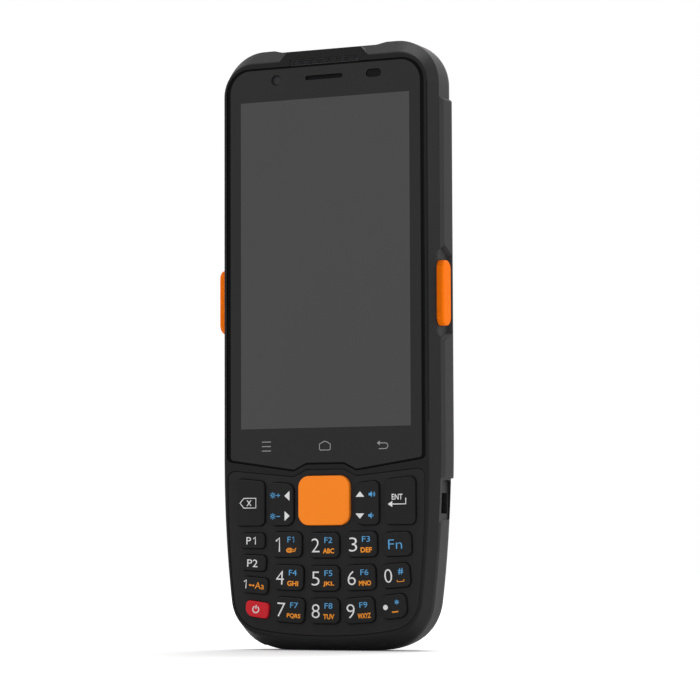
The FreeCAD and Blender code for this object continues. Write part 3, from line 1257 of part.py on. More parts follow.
def vibration_motor():
    """The coin motor, on the charging board's back."""
    return peg(MOTOR_X, MOTOR_Z, MOTOR_R, BOARD_BACK_T + SEAT, BOARD_BACK_T + SEAT + MOTOR_T)


def tray_z():
    """Height of the card holder's lower edge, above the bay."""
    return BATTERY_TOP_Z + BATTERY_FIT + BAY_WALL + TRAY_ABOVE_BAY


def card_tray():
    """The card holder on the main board, under the bay's floor."""
    return block(-TRAY_W / 2, TRAY_W / 2, MAIN_BOARD_BACK_T + 0.01, MAIN_BOARD_BACK_T + TRAY_T,
                 tray_z(), tray_z() + TRAY_H)


def antenna():
    """The radio antenna carrier along the lower end of the main board."""
    return block(-ANTENNA_W / 2, ANTENNA_W / 2, MAIN_BOARD_FRONT_T, MAIN_BOARD_FRONT_T + ANTENNA_T,
                 FRAME_LOW_Z, FRAME_LOW_Z + ANTENNA_H)


def build():
    """Every sub-part by its name."""
    keys = key_table()
    parts = {
        "front_housing": front_housing(keys),
        "rear_housing": rear_housing(),
        "cover_seal": seal_ring(0),
        "housing_screws": housing_screws(),
        "touch_glass": touch_glass(),
        "display_module": display_module(),
        "keypad_plate": keypad_plate(keys),
        "keypad_mat": keypad_mat(keys),
        "keypad_board": keypad_board(),
        "key_domes": key_domes(keys),
        "speaker_grille": speaker_grille(),
        "loudspeaker": loudspeaker(),
        "earpiece": earpiece(),
        "earpiece_mesh": earpiece_mesh(),
        "front_camera": front_camera(),
        "light_sensor": light_sensor(),
        "middle_frame": middle_frame(),
        "main_board": main_board(),
        "shield_cans": shield_cans(),
        "card_tray": card_tray(),
        "antenna": antenna(),
        "side_switches": side_switches(),
        "trigger_right": trigger(1),
        "trigger_left": trigger(-1),
        "side_grip_right": side_grip(1),
        "side_grip_left": side_grip(-1),
        "battery_pack": battery_pack(),
        "battery_contacts": contact_slots(0),
        "battery_cover": battery_cover(),
        "cover_latch": cover_latch(),
        "scan_window": scan_window(),
        "scan_engine": scan_engine(),
        "rear_camera": rear_camera(),
        "rear_camera_glass": rear_camera_glass(),
        "flash_lens": flash_lens(),
        "usb_socket": usb_socket(),
        "usb_flap": usb_flap(),
        "charge_board": charge_board(),
        "vibration_motor": vibration_motor(),
    }
    for name, (corners, proud, stems) in keys.items():
        parts[name] = key(corners, proud, stems, ROCKER_SLACK if name.startswith("rocker") else 0.0)
    return parts


def main():
    """Writes one file per sub-part."""
    os.makedirs("parts", exist_ok=True)
    for name, shape in build().items():
        good = shape.isValid() and all(s.isValid() and s.Volume > 0 for s in shape.Solids)
        print("%-20s solids %3d volume %10.2f %s" % (name, len(shape.Solids), shape.Volume,
                                                    "" if good else "NOT VALID"))
        shape.exportStep("parts/%s.step" % name)


main()
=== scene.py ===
# %% [markdown]
# # A handheld data terminal, dressed for its photograph
# The object is a rugged pocket computer: a dark moulded body, a glass front over a display, a field of keys
# below it and a coloured trigger in each side. Its solids come from the CAD program and are loaded first, so
# that everything made here is set against them in the same space.
# What the solids lack is what Blender adds: finishes, printed legends, fine trim, light and a camera.

import json
import math

import bpy
from mathutils import Matrix, Vector

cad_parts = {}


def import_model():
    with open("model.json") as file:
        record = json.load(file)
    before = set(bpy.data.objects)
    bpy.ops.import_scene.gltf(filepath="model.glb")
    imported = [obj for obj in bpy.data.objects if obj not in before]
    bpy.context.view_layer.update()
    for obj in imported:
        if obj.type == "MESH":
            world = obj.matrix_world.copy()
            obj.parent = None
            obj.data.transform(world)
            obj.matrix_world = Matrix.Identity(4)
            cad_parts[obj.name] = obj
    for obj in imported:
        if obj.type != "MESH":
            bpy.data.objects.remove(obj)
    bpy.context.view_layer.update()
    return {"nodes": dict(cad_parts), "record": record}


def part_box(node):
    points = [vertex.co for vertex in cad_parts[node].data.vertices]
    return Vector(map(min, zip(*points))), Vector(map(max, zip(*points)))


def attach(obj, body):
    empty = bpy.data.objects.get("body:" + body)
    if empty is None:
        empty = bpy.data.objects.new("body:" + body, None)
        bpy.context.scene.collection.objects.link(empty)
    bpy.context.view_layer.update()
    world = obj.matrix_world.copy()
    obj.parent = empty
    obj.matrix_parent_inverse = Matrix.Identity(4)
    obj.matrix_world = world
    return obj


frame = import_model()
nodes = frame["nodes"]
MM = 0.001

# %% [markdown]
# ## Shader arithmetic
# A finish is a small calculation: where on the piece am I, how grainy is it here, how bright, how rough.
# Written as nodes one by one it is hard to read, so one class wraps a node's output and lets plain Python
# signs add the maths nodes. A second class holds a material and adds any other node.

# %% One wrapped output, and one recipe that adds nodes
class Value:
    """An output of a node that can be used in a sum."""

    def __init__(self, recipe, socket):
        self.recipe = recipe
        self.socket = socket

    def maths(self, operation, other=None):
        inputs = {0: self} if other is None else {0: self, 1: other}
        return self.recipe.node("ShaderNodeMath", {"operation": operation}, inputs)

    def __add__(self, other):
        return self.maths("ADD", other)

    def __sub__(self, other):
        return self.maths("SUBTRACT", other)

    def __mul__(self, other):
        return self.maths("MULTIPLY", other)

    def __lt__(self, other):
        return self.maths("LESS_THAN", other)

    def __gt__(self, other):
        return self.maths("GREATER_THAN", other)

    def __abs__(self):
        return self.maths("ABSOLUTE")

    __radd__ = __add__
    __rmul__ = __mul__


class Recipe:
    """A material or a world, and the nodes in it."""

    def __init__(self, owner):
        self.owner = owner
        owner.use_nodes = True
        self.tree = owner.node_tree

    def node(self, kind, settings=None, inputs=None, out=0):
        made = self.tree.nodes.new(kind)
        for name, value in (settings or {}).items():
            setattr(made, name, value)
        for name, value in (inputs or {}).items():
            self.plug(made.inputs[name], value)
        return Value(self, made.outputs[out]) if made.outputs else made

    def plug(self, socket, value):
        if isinstance(value, Value):
            self.tree.links.new(value.socket, socket)
        else:
            socket.default_value = value


# %% A finish, with the three things that every finish here is made from
def shade(red, green, blue):
    """A colour as seen on a screen, 0 to 255, as the amount of light that it sends back."""
    parts = [v / 255 for v in (red, green, blue)]
    linear = [v / 12.92 if v <= 0.04045 else ((v + 0.055) / 1.055) ** 2.4 for v in parts]
    return (*linear, 1.0)


class Finish(Recipe):
    """A surface's material: constants go on the shader, what varies is fed to it."""

    def __init__(self, name, **constants):
        super().__init__(bpy.data.materials.new(name))
        self.shader = self.tree.nodes["Principled BSDF"]
        for socket, value in constants.items():
            self.shader.inputs[socket.replace("_", " ")].default_value = value
        self.place = self.node("ShaderNodeTexCoord", out="Object")

    def feed(self, socket, value):
        self.plug(self.shader.inputs[socket], value)

    def axes(self):
        """Where a spot lies on the piece, along X, Y and Z."""
        split = self.node("ShaderNodeSeparateXYZ", None, {"Vector": self.place}).socket.node
        return [Value(self, split.outputs[axis]) for axis in "XYZ"]

    def speckle(self, size, detail=2.0, stretch=(1, 1, 1)):
        """Noise, 0 to 1, with spots about as wide as size in mm, drawn out along stretch."""
        settings = {"vector_type": "POINT"}
        turned = self.node("ShaderNodeMapping", settings, {"Vector": self.place, "Scale": stretch})
        inputs = {"Vector": turned, "Scale": 1 / (size * MM), "Detail": detail}
        return self.node("ShaderNodeTexNoise", None, inputs)

    def between(self, amount, low, high):
        """A colour from low to high as amount goes from 0 to 1."""
        settings = {"data_type": "RGBA", "clamp_factor": True}
        return self.node("ShaderNodeMix", settings, {0: amount, 6: low, 7: high}, out=2)

    def relief(self, height, depth):
        """Small hills on the surface: depth in mm where height is 1."""
        self.feed("Normal", self.node("ShaderNodeBump", None, {"Height": height, "Distance": depth * MM}))


def paler(colour, by):
    return (*[min(1.0, v * by) for v in colour[:3]], 1.0)


# %% [markdown]
# ## Moulded plastic and rubber
# Nearly all that shows is injection-moulded plastic. The mould is etched, so the part has a grain of about a
# third of a millimetre that breaks up the shine. Hands polish it unevenly, so its roughness drifts slowly.
# A photo texture would show both, but noise on the piece's own coordinates needs no file, has no seams and
# stays the right size. The shine is kept low, because the real plastic hardly mirrors the white room.

# %% One recipe for everything that came out of a mould
def moulded(name, colour, rough, grain=0.3, depth=0.012, shine=0.12, drift=0.12):
    finish = Finish(name, Specular_IOR_Level=shine)
    clouds = finish.speckle(16, detail=3)
    pits = finish.speckle(grain)
    amount = clouds + (pits - 0.5) * 0.4
    finish.colour = finish.between(amount, paler(colour, 1 - drift), paler(colour, 1 + drift))
    finish.feed("Base Color", finish.colour)
    finish.feed("Roughness", rough + (clouds - 0.5) * 0.16 + (pits - 0.5) * 0.1)
    finish.relief(pits, depth)
    return finish


BODY_BLACK = shade(27, 27, 28)
finishes = {
    "housing_black": moulded("housing_black", BODY_BLACK, 0.52),
    "housing_rear": moulded("housing_rear", shade(34, 34, 35), 0.5, shine=0.2),
    "keypad_plate": moulded("keypad_plate", shade(34, 34, 35), 0.55, grain=0.24),
    "key_black": moulded("key_black", shade(29, 29, 30), 0.5, grain=0.18, depth=0.006),
    "key_red": moulded("key_red", shade(200, 35, 45), 0.45, grain=0.18, depth=0.006, drift=0.05),
    "cover_plastic": moulded("cover_plastic", shade(30, 30, 31), 0.56, grain=0.4, depth=0.018),
    "latch_plastic": moulded("latch_plastic", shade(42, 42, 44), 0.5),
    "module_black": moulded("module_black", shade(26, 26, 27), 0.6),
    "camera_body": moulded("camera_body", shade(30, 30, 31), 0.4),
    "antenna_plastic": moulded("antenna_plastic", shade(196, 190, 176), 0.5, drift=0.05),
    "flash_plastic": moulded("flash_plastic", shade(232, 228, 206), 0.22, grain=0.5, depth=0.02, drift=0.06),
    "grip_rubber": moulded("grip_rubber", shade(50, 50, 51), 0.66, grain=0.26, depth=0.014),
    "flap_rubber": moulded("flap_rubber", shade(36, 36, 37), 0.72, grain=0.26),
    "seal_rubber": moulded("seal_rubber", shade(28, 28, 29), 0.78),
    "mat_rubber": moulded("mat_rubber", shade(58, 60, 62), 0.75),
}
print("moulded finishes:", len(finishes))

# %% [markdown]
# The rim and the bevel of the front housing are moulded in one, with a fine crease between them. The crease
# is too thin to model, so its shade is painted: the housing's finish darkens where a spot lies in that strip.

# %% Painted shade in the crease between rim and bevel
CREASE_X, CREASE_HALF_W = 29.95, 0.13
CREASE_LOW_Z, CREASE_TOP_Z = 60.0, 150.0
CREASE_BACK_Y = -6.0
front = finishes["housing_black"]
x, y, z = front.axes()
along = (z > CREASE_LOW_Z * MM) * (z < CREASE_TOP_Z * MM) * (y < CREASE_BACK_Y * MM)
# Painted shade: the finish goes near black along the crease
crease_shade = along * (abs(abs(x) - CREASE_X * MM) < CREASE_HALF_W * MM)
front.feed("Base Color", front.between(crease_shade, front.colour, shade(6, 6, 6)))

# %% [markdown]
# ## The orange keys
# The scan key is a smooth satin cap, and the side triggers have rows of fine dots to feel for. The dots are a
# fraction of a millimetre, too small to be worth modelling, so they are relief in the finish: a dot sits
# where the distance to the middle of a small square cell is short. A value that runs up and down in turn
# makes the cells.

# %% Satin orange, and dotted orange
DOT_PITCH, DOT_RADIUS, DOT_HEIGHT = 0.9, 0.153, 0.03


def dots(across, up):
    """1 on round dots that stand in rows, 0 between them."""
    cell_a = abs(across.maths("PINGPONG", DOT_PITCH * MM / 2) - DOT_PITCH * MM / 4)
    cell_b = abs(up.maths("PINGPONG", DOT_PITCH * MM / 2) - DOT_PITCH * MM / 4)
    return (cell_a * cell_a + cell_b * cell_b).maths("SQRT") < DOT_RADIUS * MM


finishes["key_orange"] = moulded("key_orange", shade(255, 136, 34), 0.5, grain=0.16, depth=0.004, drift=0.03)
trigger = moulded("trigger_orange", shade(247, 116, 4), 0.55, grain=0.2, depth=0.004, shine=0.05, drift=0.04)
_, y, z = trigger.axes()
trigger.relief(dots(y, z) + trigger.speckle(0.2) * 0.2, DOT_HEIGHT)
finishes["trigger_orange"] = trigger

# %% [markdown]
# ## Glass
# The front glass is painted black behind, except for a window over the display, which is switched off and
# looks dark grey. Real depth under the glass would need clear glass, paint and a lit panel; seen from outside
# only the edge between black and grey matters, so one finish masks it by its place. Its shine is a constant.

# %% Painted cover glass with the window of the display
SCREEN_HALF_W = 24.9
SCREEN_LOW_Z = 59.05
SCREEN_TOP_Z = 147.55
GLASS_FACE_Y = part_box("touch_glass")[0].y

glass = Finish("cover_glass", Specular_IOR_Level=0.22, IOR=1.5)
x, y, z = glass.axes()
middle_z = (SCREEN_LOW_Z + SCREEN_TOP_Z) / 2 * MM
half_h = (SCREEN_TOP_Z - SCREEN_LOW_Z) / 2 * MM
on_face = y < GLASS_FACE_Y + 0.2 * MM
window = (abs(x) < SCREEN_HALF_W * MM) * (abs(z - middle_z) < half_h) * on_face
smudge = glass.speckle(22, detail=3, stretch=(1, 1, 0.4))
grey = glass.between(smudge, shade(66, 66, 66), shade(69, 69, 69))
black = glass.between(smudge, shade(28, 28, 28), shade(32, 32, 32))
glass.feed("Base Color", glass.between(window, black, grey))
glass.feed("Roughness", 0.16 + smudge * 0.1)
finishes["cover_glass"] = glass


# %% Small lenses and windows, whose colour turns to a paler tint at grazing angles: painted sheen
def lens(name, colour, rough, sheen_tint, shine=0.4):
    finish = Finish(name, Specular_IOR_Level=shine, IOR=1.5)
    # Painted sheen: facing the camera the glass shows its own colour, at grazing angles the paler tint of its
    # coating's reflection
    depth = finish.node("ShaderNodeLayerWeight", None, {"Blend": 0.35}, out="Facing")
    coating_sheen = finish.between(depth, colour, sheen_tint)
    finish.feed("Base Color", coating_sheen)
    finish.feed("Roughness", rough + finish.speckle(6) * 0.04)
    return finish


finishes["scan_glass"] = lens("scan_glass", shade(34, 14, 20), 0.08, shade(70, 20, 34))
finishes["lens_glass"] = lens("lens_glass", shade(14, 15, 20), 0.05, shade(42, 36, 70))
finishes["sensor_pipe"] = lens("sensor_pipe", shade(16, 15, 16), 0.3, shade(30, 26, 30), shine=0.08)

# %% [markdown]
# ## Metals and boards
# Few metals show: screw heads, the gauze, contacts in the charging socket. The rest is inside, but a part is
# judged when it is opened too, so each gets the marks of how it was made. Rolled sheet has long fine lines,
# which are noise stretched along one axis. Castings and turned parts have round grain.

# %% Metals
def metal(name, colour, rough, grain=0.3, stretch=(1, 1, 1), depth=0.004):
    finish = Finish(name)
    lines = finish.speckle(grain, stretch=stretch)
    clouds = finish.speckle(9)
    finish.feed("Metallic", 0.9 + clouds * 0.1)
    finish.feed("Base Color", finish.between(clouds, paler(colour, 0.88), paler(colour, 1.1)))
    finish.feed("Roughness", rough + (lines - 0.5) * 0.25)
    finish.relief(lines, depth)
    return finish


finishes.update({
    "screw_steel": metal("screw_steel", shade(96, 98, 102), 0.38),
    "dome_steel": metal("dome_steel", shade(190, 190, 188), 0.3, stretch=(0.1, 1, 1)),
    "grille_metal": metal("grille_metal", shade(44, 44, 46), 0.5),
    "mesh_metal": metal("mesh_metal", shade(24, 24, 26), 0.6),
    "frame_metal": metal("frame_metal", shade(160, 162, 165), 0.45, grain=0.6, depth=0.012),
    "can_steel": metal("can_steel", shade(184, 186, 190), 0.3, stretch=(1, 1, 0.08)),
    "battery_wrap": metal("battery_wrap", shade(150, 152, 156), 0.42, stretch=(1, 1, 0.06)),
    "contact_brass": metal("contact_brass", shade(214, 176, 96), 0.3),
    "socket_steel": metal("socket_steel", shade(168, 170, 174), 0.34, stretch=(0.1, 1, 1)),
    "motor_steel": metal("motor_steel", shade(176, 176, 176), 0.36),
})


# %% Circuit boards and the display panel
def board(name, mask_colour, track_colour):
    """Green lacquer over copper tracks that run in straight lanes and now and then stop."""
    finish = Finish(name, Specular_IOR_Level=0.5)
    x, _, z = finish.axes()
    lane = x.maths("PINGPONG", 0.5 * MM) < 0.16 * MM
    here = finish.speckle(7, detail=0, stretch=(1, 1, 0.3)) > 0.52
    cross = (z.maths("PINGPONG", 0.65 * MM) < 0.14 * MM) * (finish.speckle(8, detail=0) > 0.6)
    track = (lane * here).maths("MAXIMUM", cross)
    finish.feed("Base Color", finish.between(track, mask_colour, track_colour))
    finish.feed("Roughness", 0.35 + finish.speckle(3) * 0.1)
    finish.relief(track, 0.02)
    return finish


finishes["circuit_board"] = board("circuit_board", shade(20, 74, 44), shade(44, 112, 66))
panel = Finish("display_panel", Specular_IOR_Level=0.4)
layers = panel.speckle(12, stretch=(1, 1, 0.2))
panel.feed("Base Color", panel.between(layers, shade(38, 38, 42), shade(58, 58, 62)))
panel.feed("Roughness", 0.2 + layers * 0.1)
finishes["display_panel"] = panel

# %% Each solid takes the finish that the record names for it
for part in frame["record"]["subparts"]:
    solid = nodes[part["node"]]
    solid.data.materials.clear()
    solid.data.materials.append(finishes[part["material_slot"]].owner)

# %% [markdown]
# ## Printed legends
# The keys are printed in white, blue and orange. A picture on the caps would be the usual way in a game, but
# a print that is real geometry stays sharp at any distance. So each legend is a skin of ink, thinner than a
# hair: letters are text turned into a mesh, signs are flat outlines or drawn lines. All are laid out flat in
# the key's own millimetres, joined, leaned as the key leans, stood up and set on its cap.

# %% Inks
def ink(name, colour):
    finish = Finish(name, Specular_IOR_Level=0.25)
    worn = finish.speckle(0.5, detail=3)
    finish.feed("Base Color", finish.between(worn, paler(colour, 0.9), paler(colour, 1.04)))
    finish.feed("Roughness", 0.5 + worn * 0.15)
    return finish.owner


WHITE = ink("ink_white", shade(226, 226, 226))
BLUE = ink("ink_blue", shade(88, 162, 214))
ORANGE = ink("ink_orange", shade(246, 150, 36))
GREY = ink("ink_grey", shade(150, 150, 150))
INK_THICKNESS = 0.03


# %% Helpers for choosing and settling a piece
def only(*pieces):
    """Selects these pieces and nothing else; the first is the active one."""
    bpy.ops.object.select_all(action="DESELECT")
    for piece in pieces:
        piece.select_set(True)
    bpy.context.view_layer.objects.active = pieces[0]


def settle(piece):
    """Puts the piece's place, turn and size into its mesh, and its object at the origin."""
    only(piece)
    bpy.ops.object.transform_apply(location=True, rotation=True, scale=True)
    return piece


def as_mesh(piece, material):
    only(piece)
    bpy.ops.object.convert(target="MESH")
    piece.data.materials.clear()
    piece.data.materials.append(material)
    return piece


def as_one(shapes):
    """Joins flat shapes into one piece."""
    only(*shapes)
    if len(shapes) > 1:
        bpy.ops.object.join()
    return bpy.context.view_layer.objects.active


def before(node, gap):
    """The spot in front of the middle of a solid, gap mm off its front."""
    low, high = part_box(node)
    return ((low.x + high.x) / 2, low.y - gap * MM, (low.z + high.z) / 2)


def stand(piece, name, place, body, turned=0):
    """Stands a flat print up at its place; it looks to the front, or turned by 180 degrees to the back."""
    piece.rotation_euler = (math.radians(90), 0, math.radians(turned))
    piece.location = place
    settle(piece)
    piece.name = name
    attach(piece, body)


# %% Letters: text made a mesh, fitted to a width and a height in millimetres
def letters(words, at, size, material, bold=0.0):
    bpy.ops.object.select_all(action="DESELECT")
    bpy.ops.object.text_add()
    piece = bpy.context.object
    piece.data.body = words
    piece.data.size = 10 * MM
    piece.data.offset = bold * MM
    piece.data.extrude = INK_THICKNESS / 2 * MM
    piece.data.resolution_u = 3
    as_mesh(piece, material)
    spots = [v.co for v in piece.data.vertices]
    low = Vector((min(v.x for v in spots), min(v.y for v in spots), 0))
    high = Vector((max(v.x for v in spots), max(v.y for v in spots), 0))
    scale = Vector((size[0] * MM / (high.x - low.x), size[1] * MM / (high.y - low.y), 1))
    middle = (low + high) / 2
    piece.scale = scale
    piece.location = (at[0] * MM - middle.x * scale.x, at[1] * MM - middle.y * scale.y, 0)
    return settle(piece)


# %% Signs: a filled outline, and a line of even width
def outline(points, closed, flat):
    curve = bpy.data.curves.new("sign", "CURVE")
    curve.dimensions = "2D" if flat else "3D"
    line = curve.splines.new("POLY")
    line.points.add(len(points) - 1)
    for spot, (x, y) in zip(line.points, points):
        spot.co = (x * MM, y * MM, 0, 1)
    line.use_cyclic_u = closed
    piece = bpy.data.objects.new("sign", curve)
    bpy.context.scene.collection.objects.link(piece)
    return piece


def filled(points, material):
    piece = outline(points, True, True)
    piece.data.fill_mode = "BOTH"
    piece.data.extrude = INK_THICKNESS / 2 * MM
    return as_mesh(piece, material)


def drawn(points, width, material, closed=False):
    piece = outline(points, closed, False)
    piece.data.bevel_depth = width / 2 * MM
    piece.data.bevel_resolution = 1
    piece.data.use_fill_caps = True
    as_mesh(piece, material)
    piece.scale.z = INK_THICKNESS / width
    return settle(piece)


def arc(middle, radius, start, end, steps=12):
    """Points on part of a circle; the angles are degrees, counted from the right, anticlockwise."""
    turns = [math.radians(start + (end - start) * i / steps) for i in range(steps + 1)]
    return [(middle[0] + radius * math.cos(t), middle[1] + radius * math.sin(t)) for t in turns]


# %% [markdown]
# The signs are the ones of any such keypad: a lamp for brightness, a loudspeaker for volume, arrows, a
# crossed tab for delete, a bent arrow for enter, and a broken ring for power. What is shown more than once,
# in another size or another ink, is a function.

# %% The signs
def sun(at, sign):
    """A small lamp with rays, and a plus or a minus beside it."""
    shapes = [drawn(arc(at, 0.36, 0, 330, 11), 0.24, BLUE, closed=True)]
    for i in range(8):
        turn = math.radians(45 * i)
        ray = [(at[0] + r * math.cos(turn), at[1] + r * math.sin(turn)) for r in (0.58, 0.86)]
        shapes.append(drawn(ray, 0.2, BLUE))
    mark = (at[0] + 1.62, at[1])
    shapes.append(drawn([(mark[0] - 0.55, mark[1]), (mark[0] + 0.55, mark[1])], 0.24, BLUE))
    if sign == "+":
        shapes.append(drawn([(mark[0], mark[1] - 0.5), (mark[0], mark[1] + 0.5)], 0.24, BLUE))
    return shapes


def loudspeaker_sign(at, waves):
    horn = [(-0.95, -0.32), (-0.5, -0.32), (0, -0.82), (0, 0.82), (-0.5, 0.32), (-0.95, 0.32)]
    shapes = [filled([(at[0] + a, at[1] + b) for a, b in horn], BLUE)]
    for i in range(waves):
        shapes.append(drawn(arc(at, 0.42 + 0.42 * i, -48, 48, 8), 0.2, BLUE))
    return shapes


def arrowhead(at, turn, half_base, length, material=WHITE):
    """A filled triangle; turn 0 points right, 90 up."""
    c, s = math.cos(math.radians(turn)), math.sin(math.radians(turn))
    corners = [(length / 2, 0), (-length / 2, half_base), (-length / 2, -half_base)]
    return filled([(at[0] + a * c - b * s, at[1] + a * s + b * c) for a, b in corners], material)


def figure_one(at, size, width, material=WHITE):
    """A one with its short flag; the built-in letters draw it as a plain bar."""
    half_w, half_h = size[0] / 2, size[1] / 2
    corners = [(-half_w, half_h * 0.5), (half_w * 0.45, half_h), (half_w * 0.45, -half_h)]
    return drawn([(at[0] + a, at[1] + b) for a, b in corners], width, material)


# %% [markdown]
# What each key carries is a table: every row is one shape, placed in millimetres from the middle of the key.
# The nine number keys share one layout, a tall digit on the left, its function number above and its letters
# below on the right. The letters are printed bold and narrow.

# %% Number keys
def number_legend(digit, function, letters_below):
    below = {"@:/": 3.0, "PQRS": 4.0, "WXYZ": 3.8, "MNO": 3.5}.get(letters_below, 3.25)
    shapes = [letters(letters_below, (1.35, -1.5), (below, 1.35), ORANGE, 0.3)]
    if digit == "1":
        shapes += [figure_one((-2.45, -0.05), (1.4, 3.7), 0.42), letters("F", (0.7, 1.35), (0.95, 1.5), BLUE),
                   figure_one((1.95, 1.35), (0.65, 1.5), 0.22, BLUE)]
    else:
        shapes += [letters(digit, (-2.45, -0.05), (2.35, 3.7), WHITE, -0.12),
                   letters(function, (1.3, 1.35), (2.3, 1.5), BLUE)]
    return shapes


NUMBER_WORDS = [
    ("1", "F1", "@:/"), ("2", "F2", "ABC"), ("3", "F3", "DEF"),
    ("4", "F4", "GHI"), ("5", "F5", "JKL"), ("6", "F6", "MNO"),
    ("7", "F7", "PQRS"), ("8", "F8", "TUV"), ("9", "F9", "WXYZ"),
]
NUMBER_LEAN = {0: 0.5, 1: 2.2, 2: 4.0}

# %% All the other keys
OTHER_LEGENDS = {
    "key_delete": (0, lambda: [
        drawn([(-2.9, -0.2), (-1.75, 1.1), (1.85, 1.1), (1.85, -1.5), (-1.75, -1.5)], 0.27, WHITE,
              closed=True),
        letters("X", (-0.2, -0.2), (1.45, 1.5), WHITE, 0.15),
    ]),
    "key_enter": (0, lambda: [
        letters("ENT", (-0.7, 1.0), (3.1, 1.5), WHITE, 0.12),
        drawn([(-2.9, -0.9), (1.75, -0.9), (1.75, 0.7)], 0.3, WHITE),
        arrowhead((-2.75, -0.9), 180, 0.8, 1.3),
    ]),
    "rocker_left": (0, lambda: sun((-2.6, 2.3), "+") + sun((-2.6, -3.3), "-") + [
        arrowhead((1.6, 2.15), 180, 1.3, 1.5),
        arrowhead((1.65, -3.2), 0, 1.3, 1.5),
    ]),
    "rocker_right": (0, lambda: loudspeaker_sign((1.55, 2.3), 2) + loudspeaker_sign((1.45, -3.3), 1) + [
        arrowhead((-1.9, 2.35), 90, 1.25, 1.45),
        arrowhead((-1.95, -3.45), 270, 1.25, 1.4),
    ]),
    "key_p1": (-1, lambda: [
        letters("P", (-1.05, 0.0), (1.35, 1.95), WHITE, 0.0),
        figure_one((0.75, 0.0), (0.9, 1.95), 0.3),
    ]),
    "key_p2": (-3, lambda: [letters("P2", (-0.25, -0.1), (3.1, 2.0), WHITE, 0.0)]),
    "key_mode": (-5.5, lambda: [
        figure_one((-2.85, 0.1), (0.9, 2.25), 0.32),
        drawn([(-1.55, -0.05), (-0.35, -0.05)], 0.3, ORANGE),
        arrowhead((-1.6, -0.05), 180, 0.38, 0.5, ORANGE),
        arrowhead((-0.3, -0.05), 0, 0.38, 0.5, ORANGE),
        letters("Aa", (1.4, 0.05), (2.75, 1.8), ORANGE, 0.0),
    ]),
    "key_power": (-8, lambda: [
        drawn(arc((-0.35, -0.05), 0.88, 122, 418, 20), 0.32, WHITE),
        drawn([(-0.35, 0.1), (-0.35, 1.15)], 0.32, WHITE),
    ]),
    "key_fn": (2, lambda: [letters("Fn", (-0.5, 0.0), (3.95, 2.5), BLUE, -0.1)]),
    "key_0": (5, lambda: [
        letters("0", (-2.1, 0.1), (2.2, 3.6), WHITE, -0.12),
        letters("#", (1.5, 1.0), (1.5, 1.65), BLUE, 0.1),
        drawn([(0.35, -1.2), (0.35, -1.65), (2.25, -1.65), (2.25, -1.2)], 0.24, ORANGE),
    ]),
    "key_dot": (6.5, lambda: [
        filled(arc((-2.3, 0.0), 0.68, 0, 345, 23), WHITE),
        letters("*", (1.05, 1.05), (1.2, 1.25), BLUE, 0.15),
        drawn([(-0.6, -1.45), (1.2, -1.45)], 0.36, ORANGE),
    ]),
}


# %% Join each key's shapes, lean them, stand them up and set them on the cap
OFF_CAP = 0.004


def print_on(key, lean, shapes):
    piece = as_one(shapes)
    piece.rotation_euler = (0, 0, math.radians(lean))
    settle(piece)
    stand(piece, "legend_" + key, before(key, OFF_CAP), key)


for i, words in enumerate(NUMBER_WORDS):
    print_on("key_" + words[0], NUMBER_LEAN[i // 3] * (i % 3 - 1), number_legend(*words))
for key, (lean, shapes) in OTHER_LEGENDS.items():
    print_on(key, lean, shapes())
print("keys printed:", len(NUMBER_WORDS) + len(OTHER_LEGENDS))

# %% [markdown]
# ## Signs under the glass
# Below the display the glass carries three touch signs in thin grey line: a list, a house and a bent arrow.
# They are printed as the keys are, on the front glass.

# %% List, house and back signs
SIGN_LINE, OFF_GLASS = 0.24, 0.002


def glass_sign(name, at, shapes):
    place = (at[0] * MM, GLASS_FACE_Y - OFF_GLASS * MM, at[1] * MM)
    stand(as_one(shapes), name, place, "housing")


glass_sign("sign_list", (-17.3, 54.3), [
    drawn([(-1.35, h), (1.35, h)], SIGN_LINE, GREY) for h in (-1.2, 0.0, 1.2)
])
glass_sign("sign_house", (0.0, 54.2), [
    drawn([(-1.6, -0.9), (-1.6, 0.45), (-0.25, 1.15), (0.25, 1.15), (1.6, 0.45), (1.6, -0.9), (1.35, -1.15),
           (-1.35, -1.15)], SIGN_LINE, GREY, closed=True),
])
glass_sign("sign_back", (16.8, 54.1), [
    drawn([(-1.4, 0.5)] + arc((0.75, -0.25), 0.75, 90, -90, 10) + [(-1.1, -1.0)], SIGN_LINE, GREY),
    arrowhead((-1.25, 0.5), 180, 0.6, 0.8, GREY),
])

# %% [markdown]
# ## Trim on the front
# Between the glass and the rim lies a dark band, broad along the sides and narrow at the ends: the shade in
# the gap round the glass, painted as a thin matt black ring laid on the glass, since a printed border on the
# shiny glass would not go dark enough. So the glass's own face is copied, its doubles are merged, all but its
# outer edge is deleted, and the edge is filled and inset: the ring that is left is the painted shade.

# %% Painted shade round the glass, as a thin dark ring
DOUBLES, SAME_WAY, SAME_PLANE = 0.002, 0.99, 0.02


def face_copy(node, facing):
    """A copy of a solid's outermost flat faces that look one way, merged and selected in edit mode."""
    piece = nodes[node].copy()
    piece.data = nodes[node].data.copy()
    bpy.context.scene.collection.objects.link(piece)
    only(piece)
    bpy.ops.object.mode_set(mode="EDIT")
    bpy.ops.mesh.select_all(action="SELECT")
    bpy.ops.mesh.remove_doubles(threshold=DOUBLES * MM)
    bpy.ops.mesh.select_all(action="DESELECT")
    bpy.ops.object.mode_set(mode="OBJECT")
    outermost = max(face.center.dot(facing) for face in piece.data.polygons)
    for face in piece.data.polygons:
        too_deep = face.center.dot(facing) < outermost - SAME_PLANE * MM
        face.select = face.normal.dot(facing) < SAME_WAY or too_deep
    bpy.ops.object.mode_set(mode="EDIT")
    bpy.ops.mesh.select_mode(type="FACE")
    bpy.ops.mesh.delete(type="FACE")
    bpy.ops.mesh.select_all(action="SELECT")
    return piece


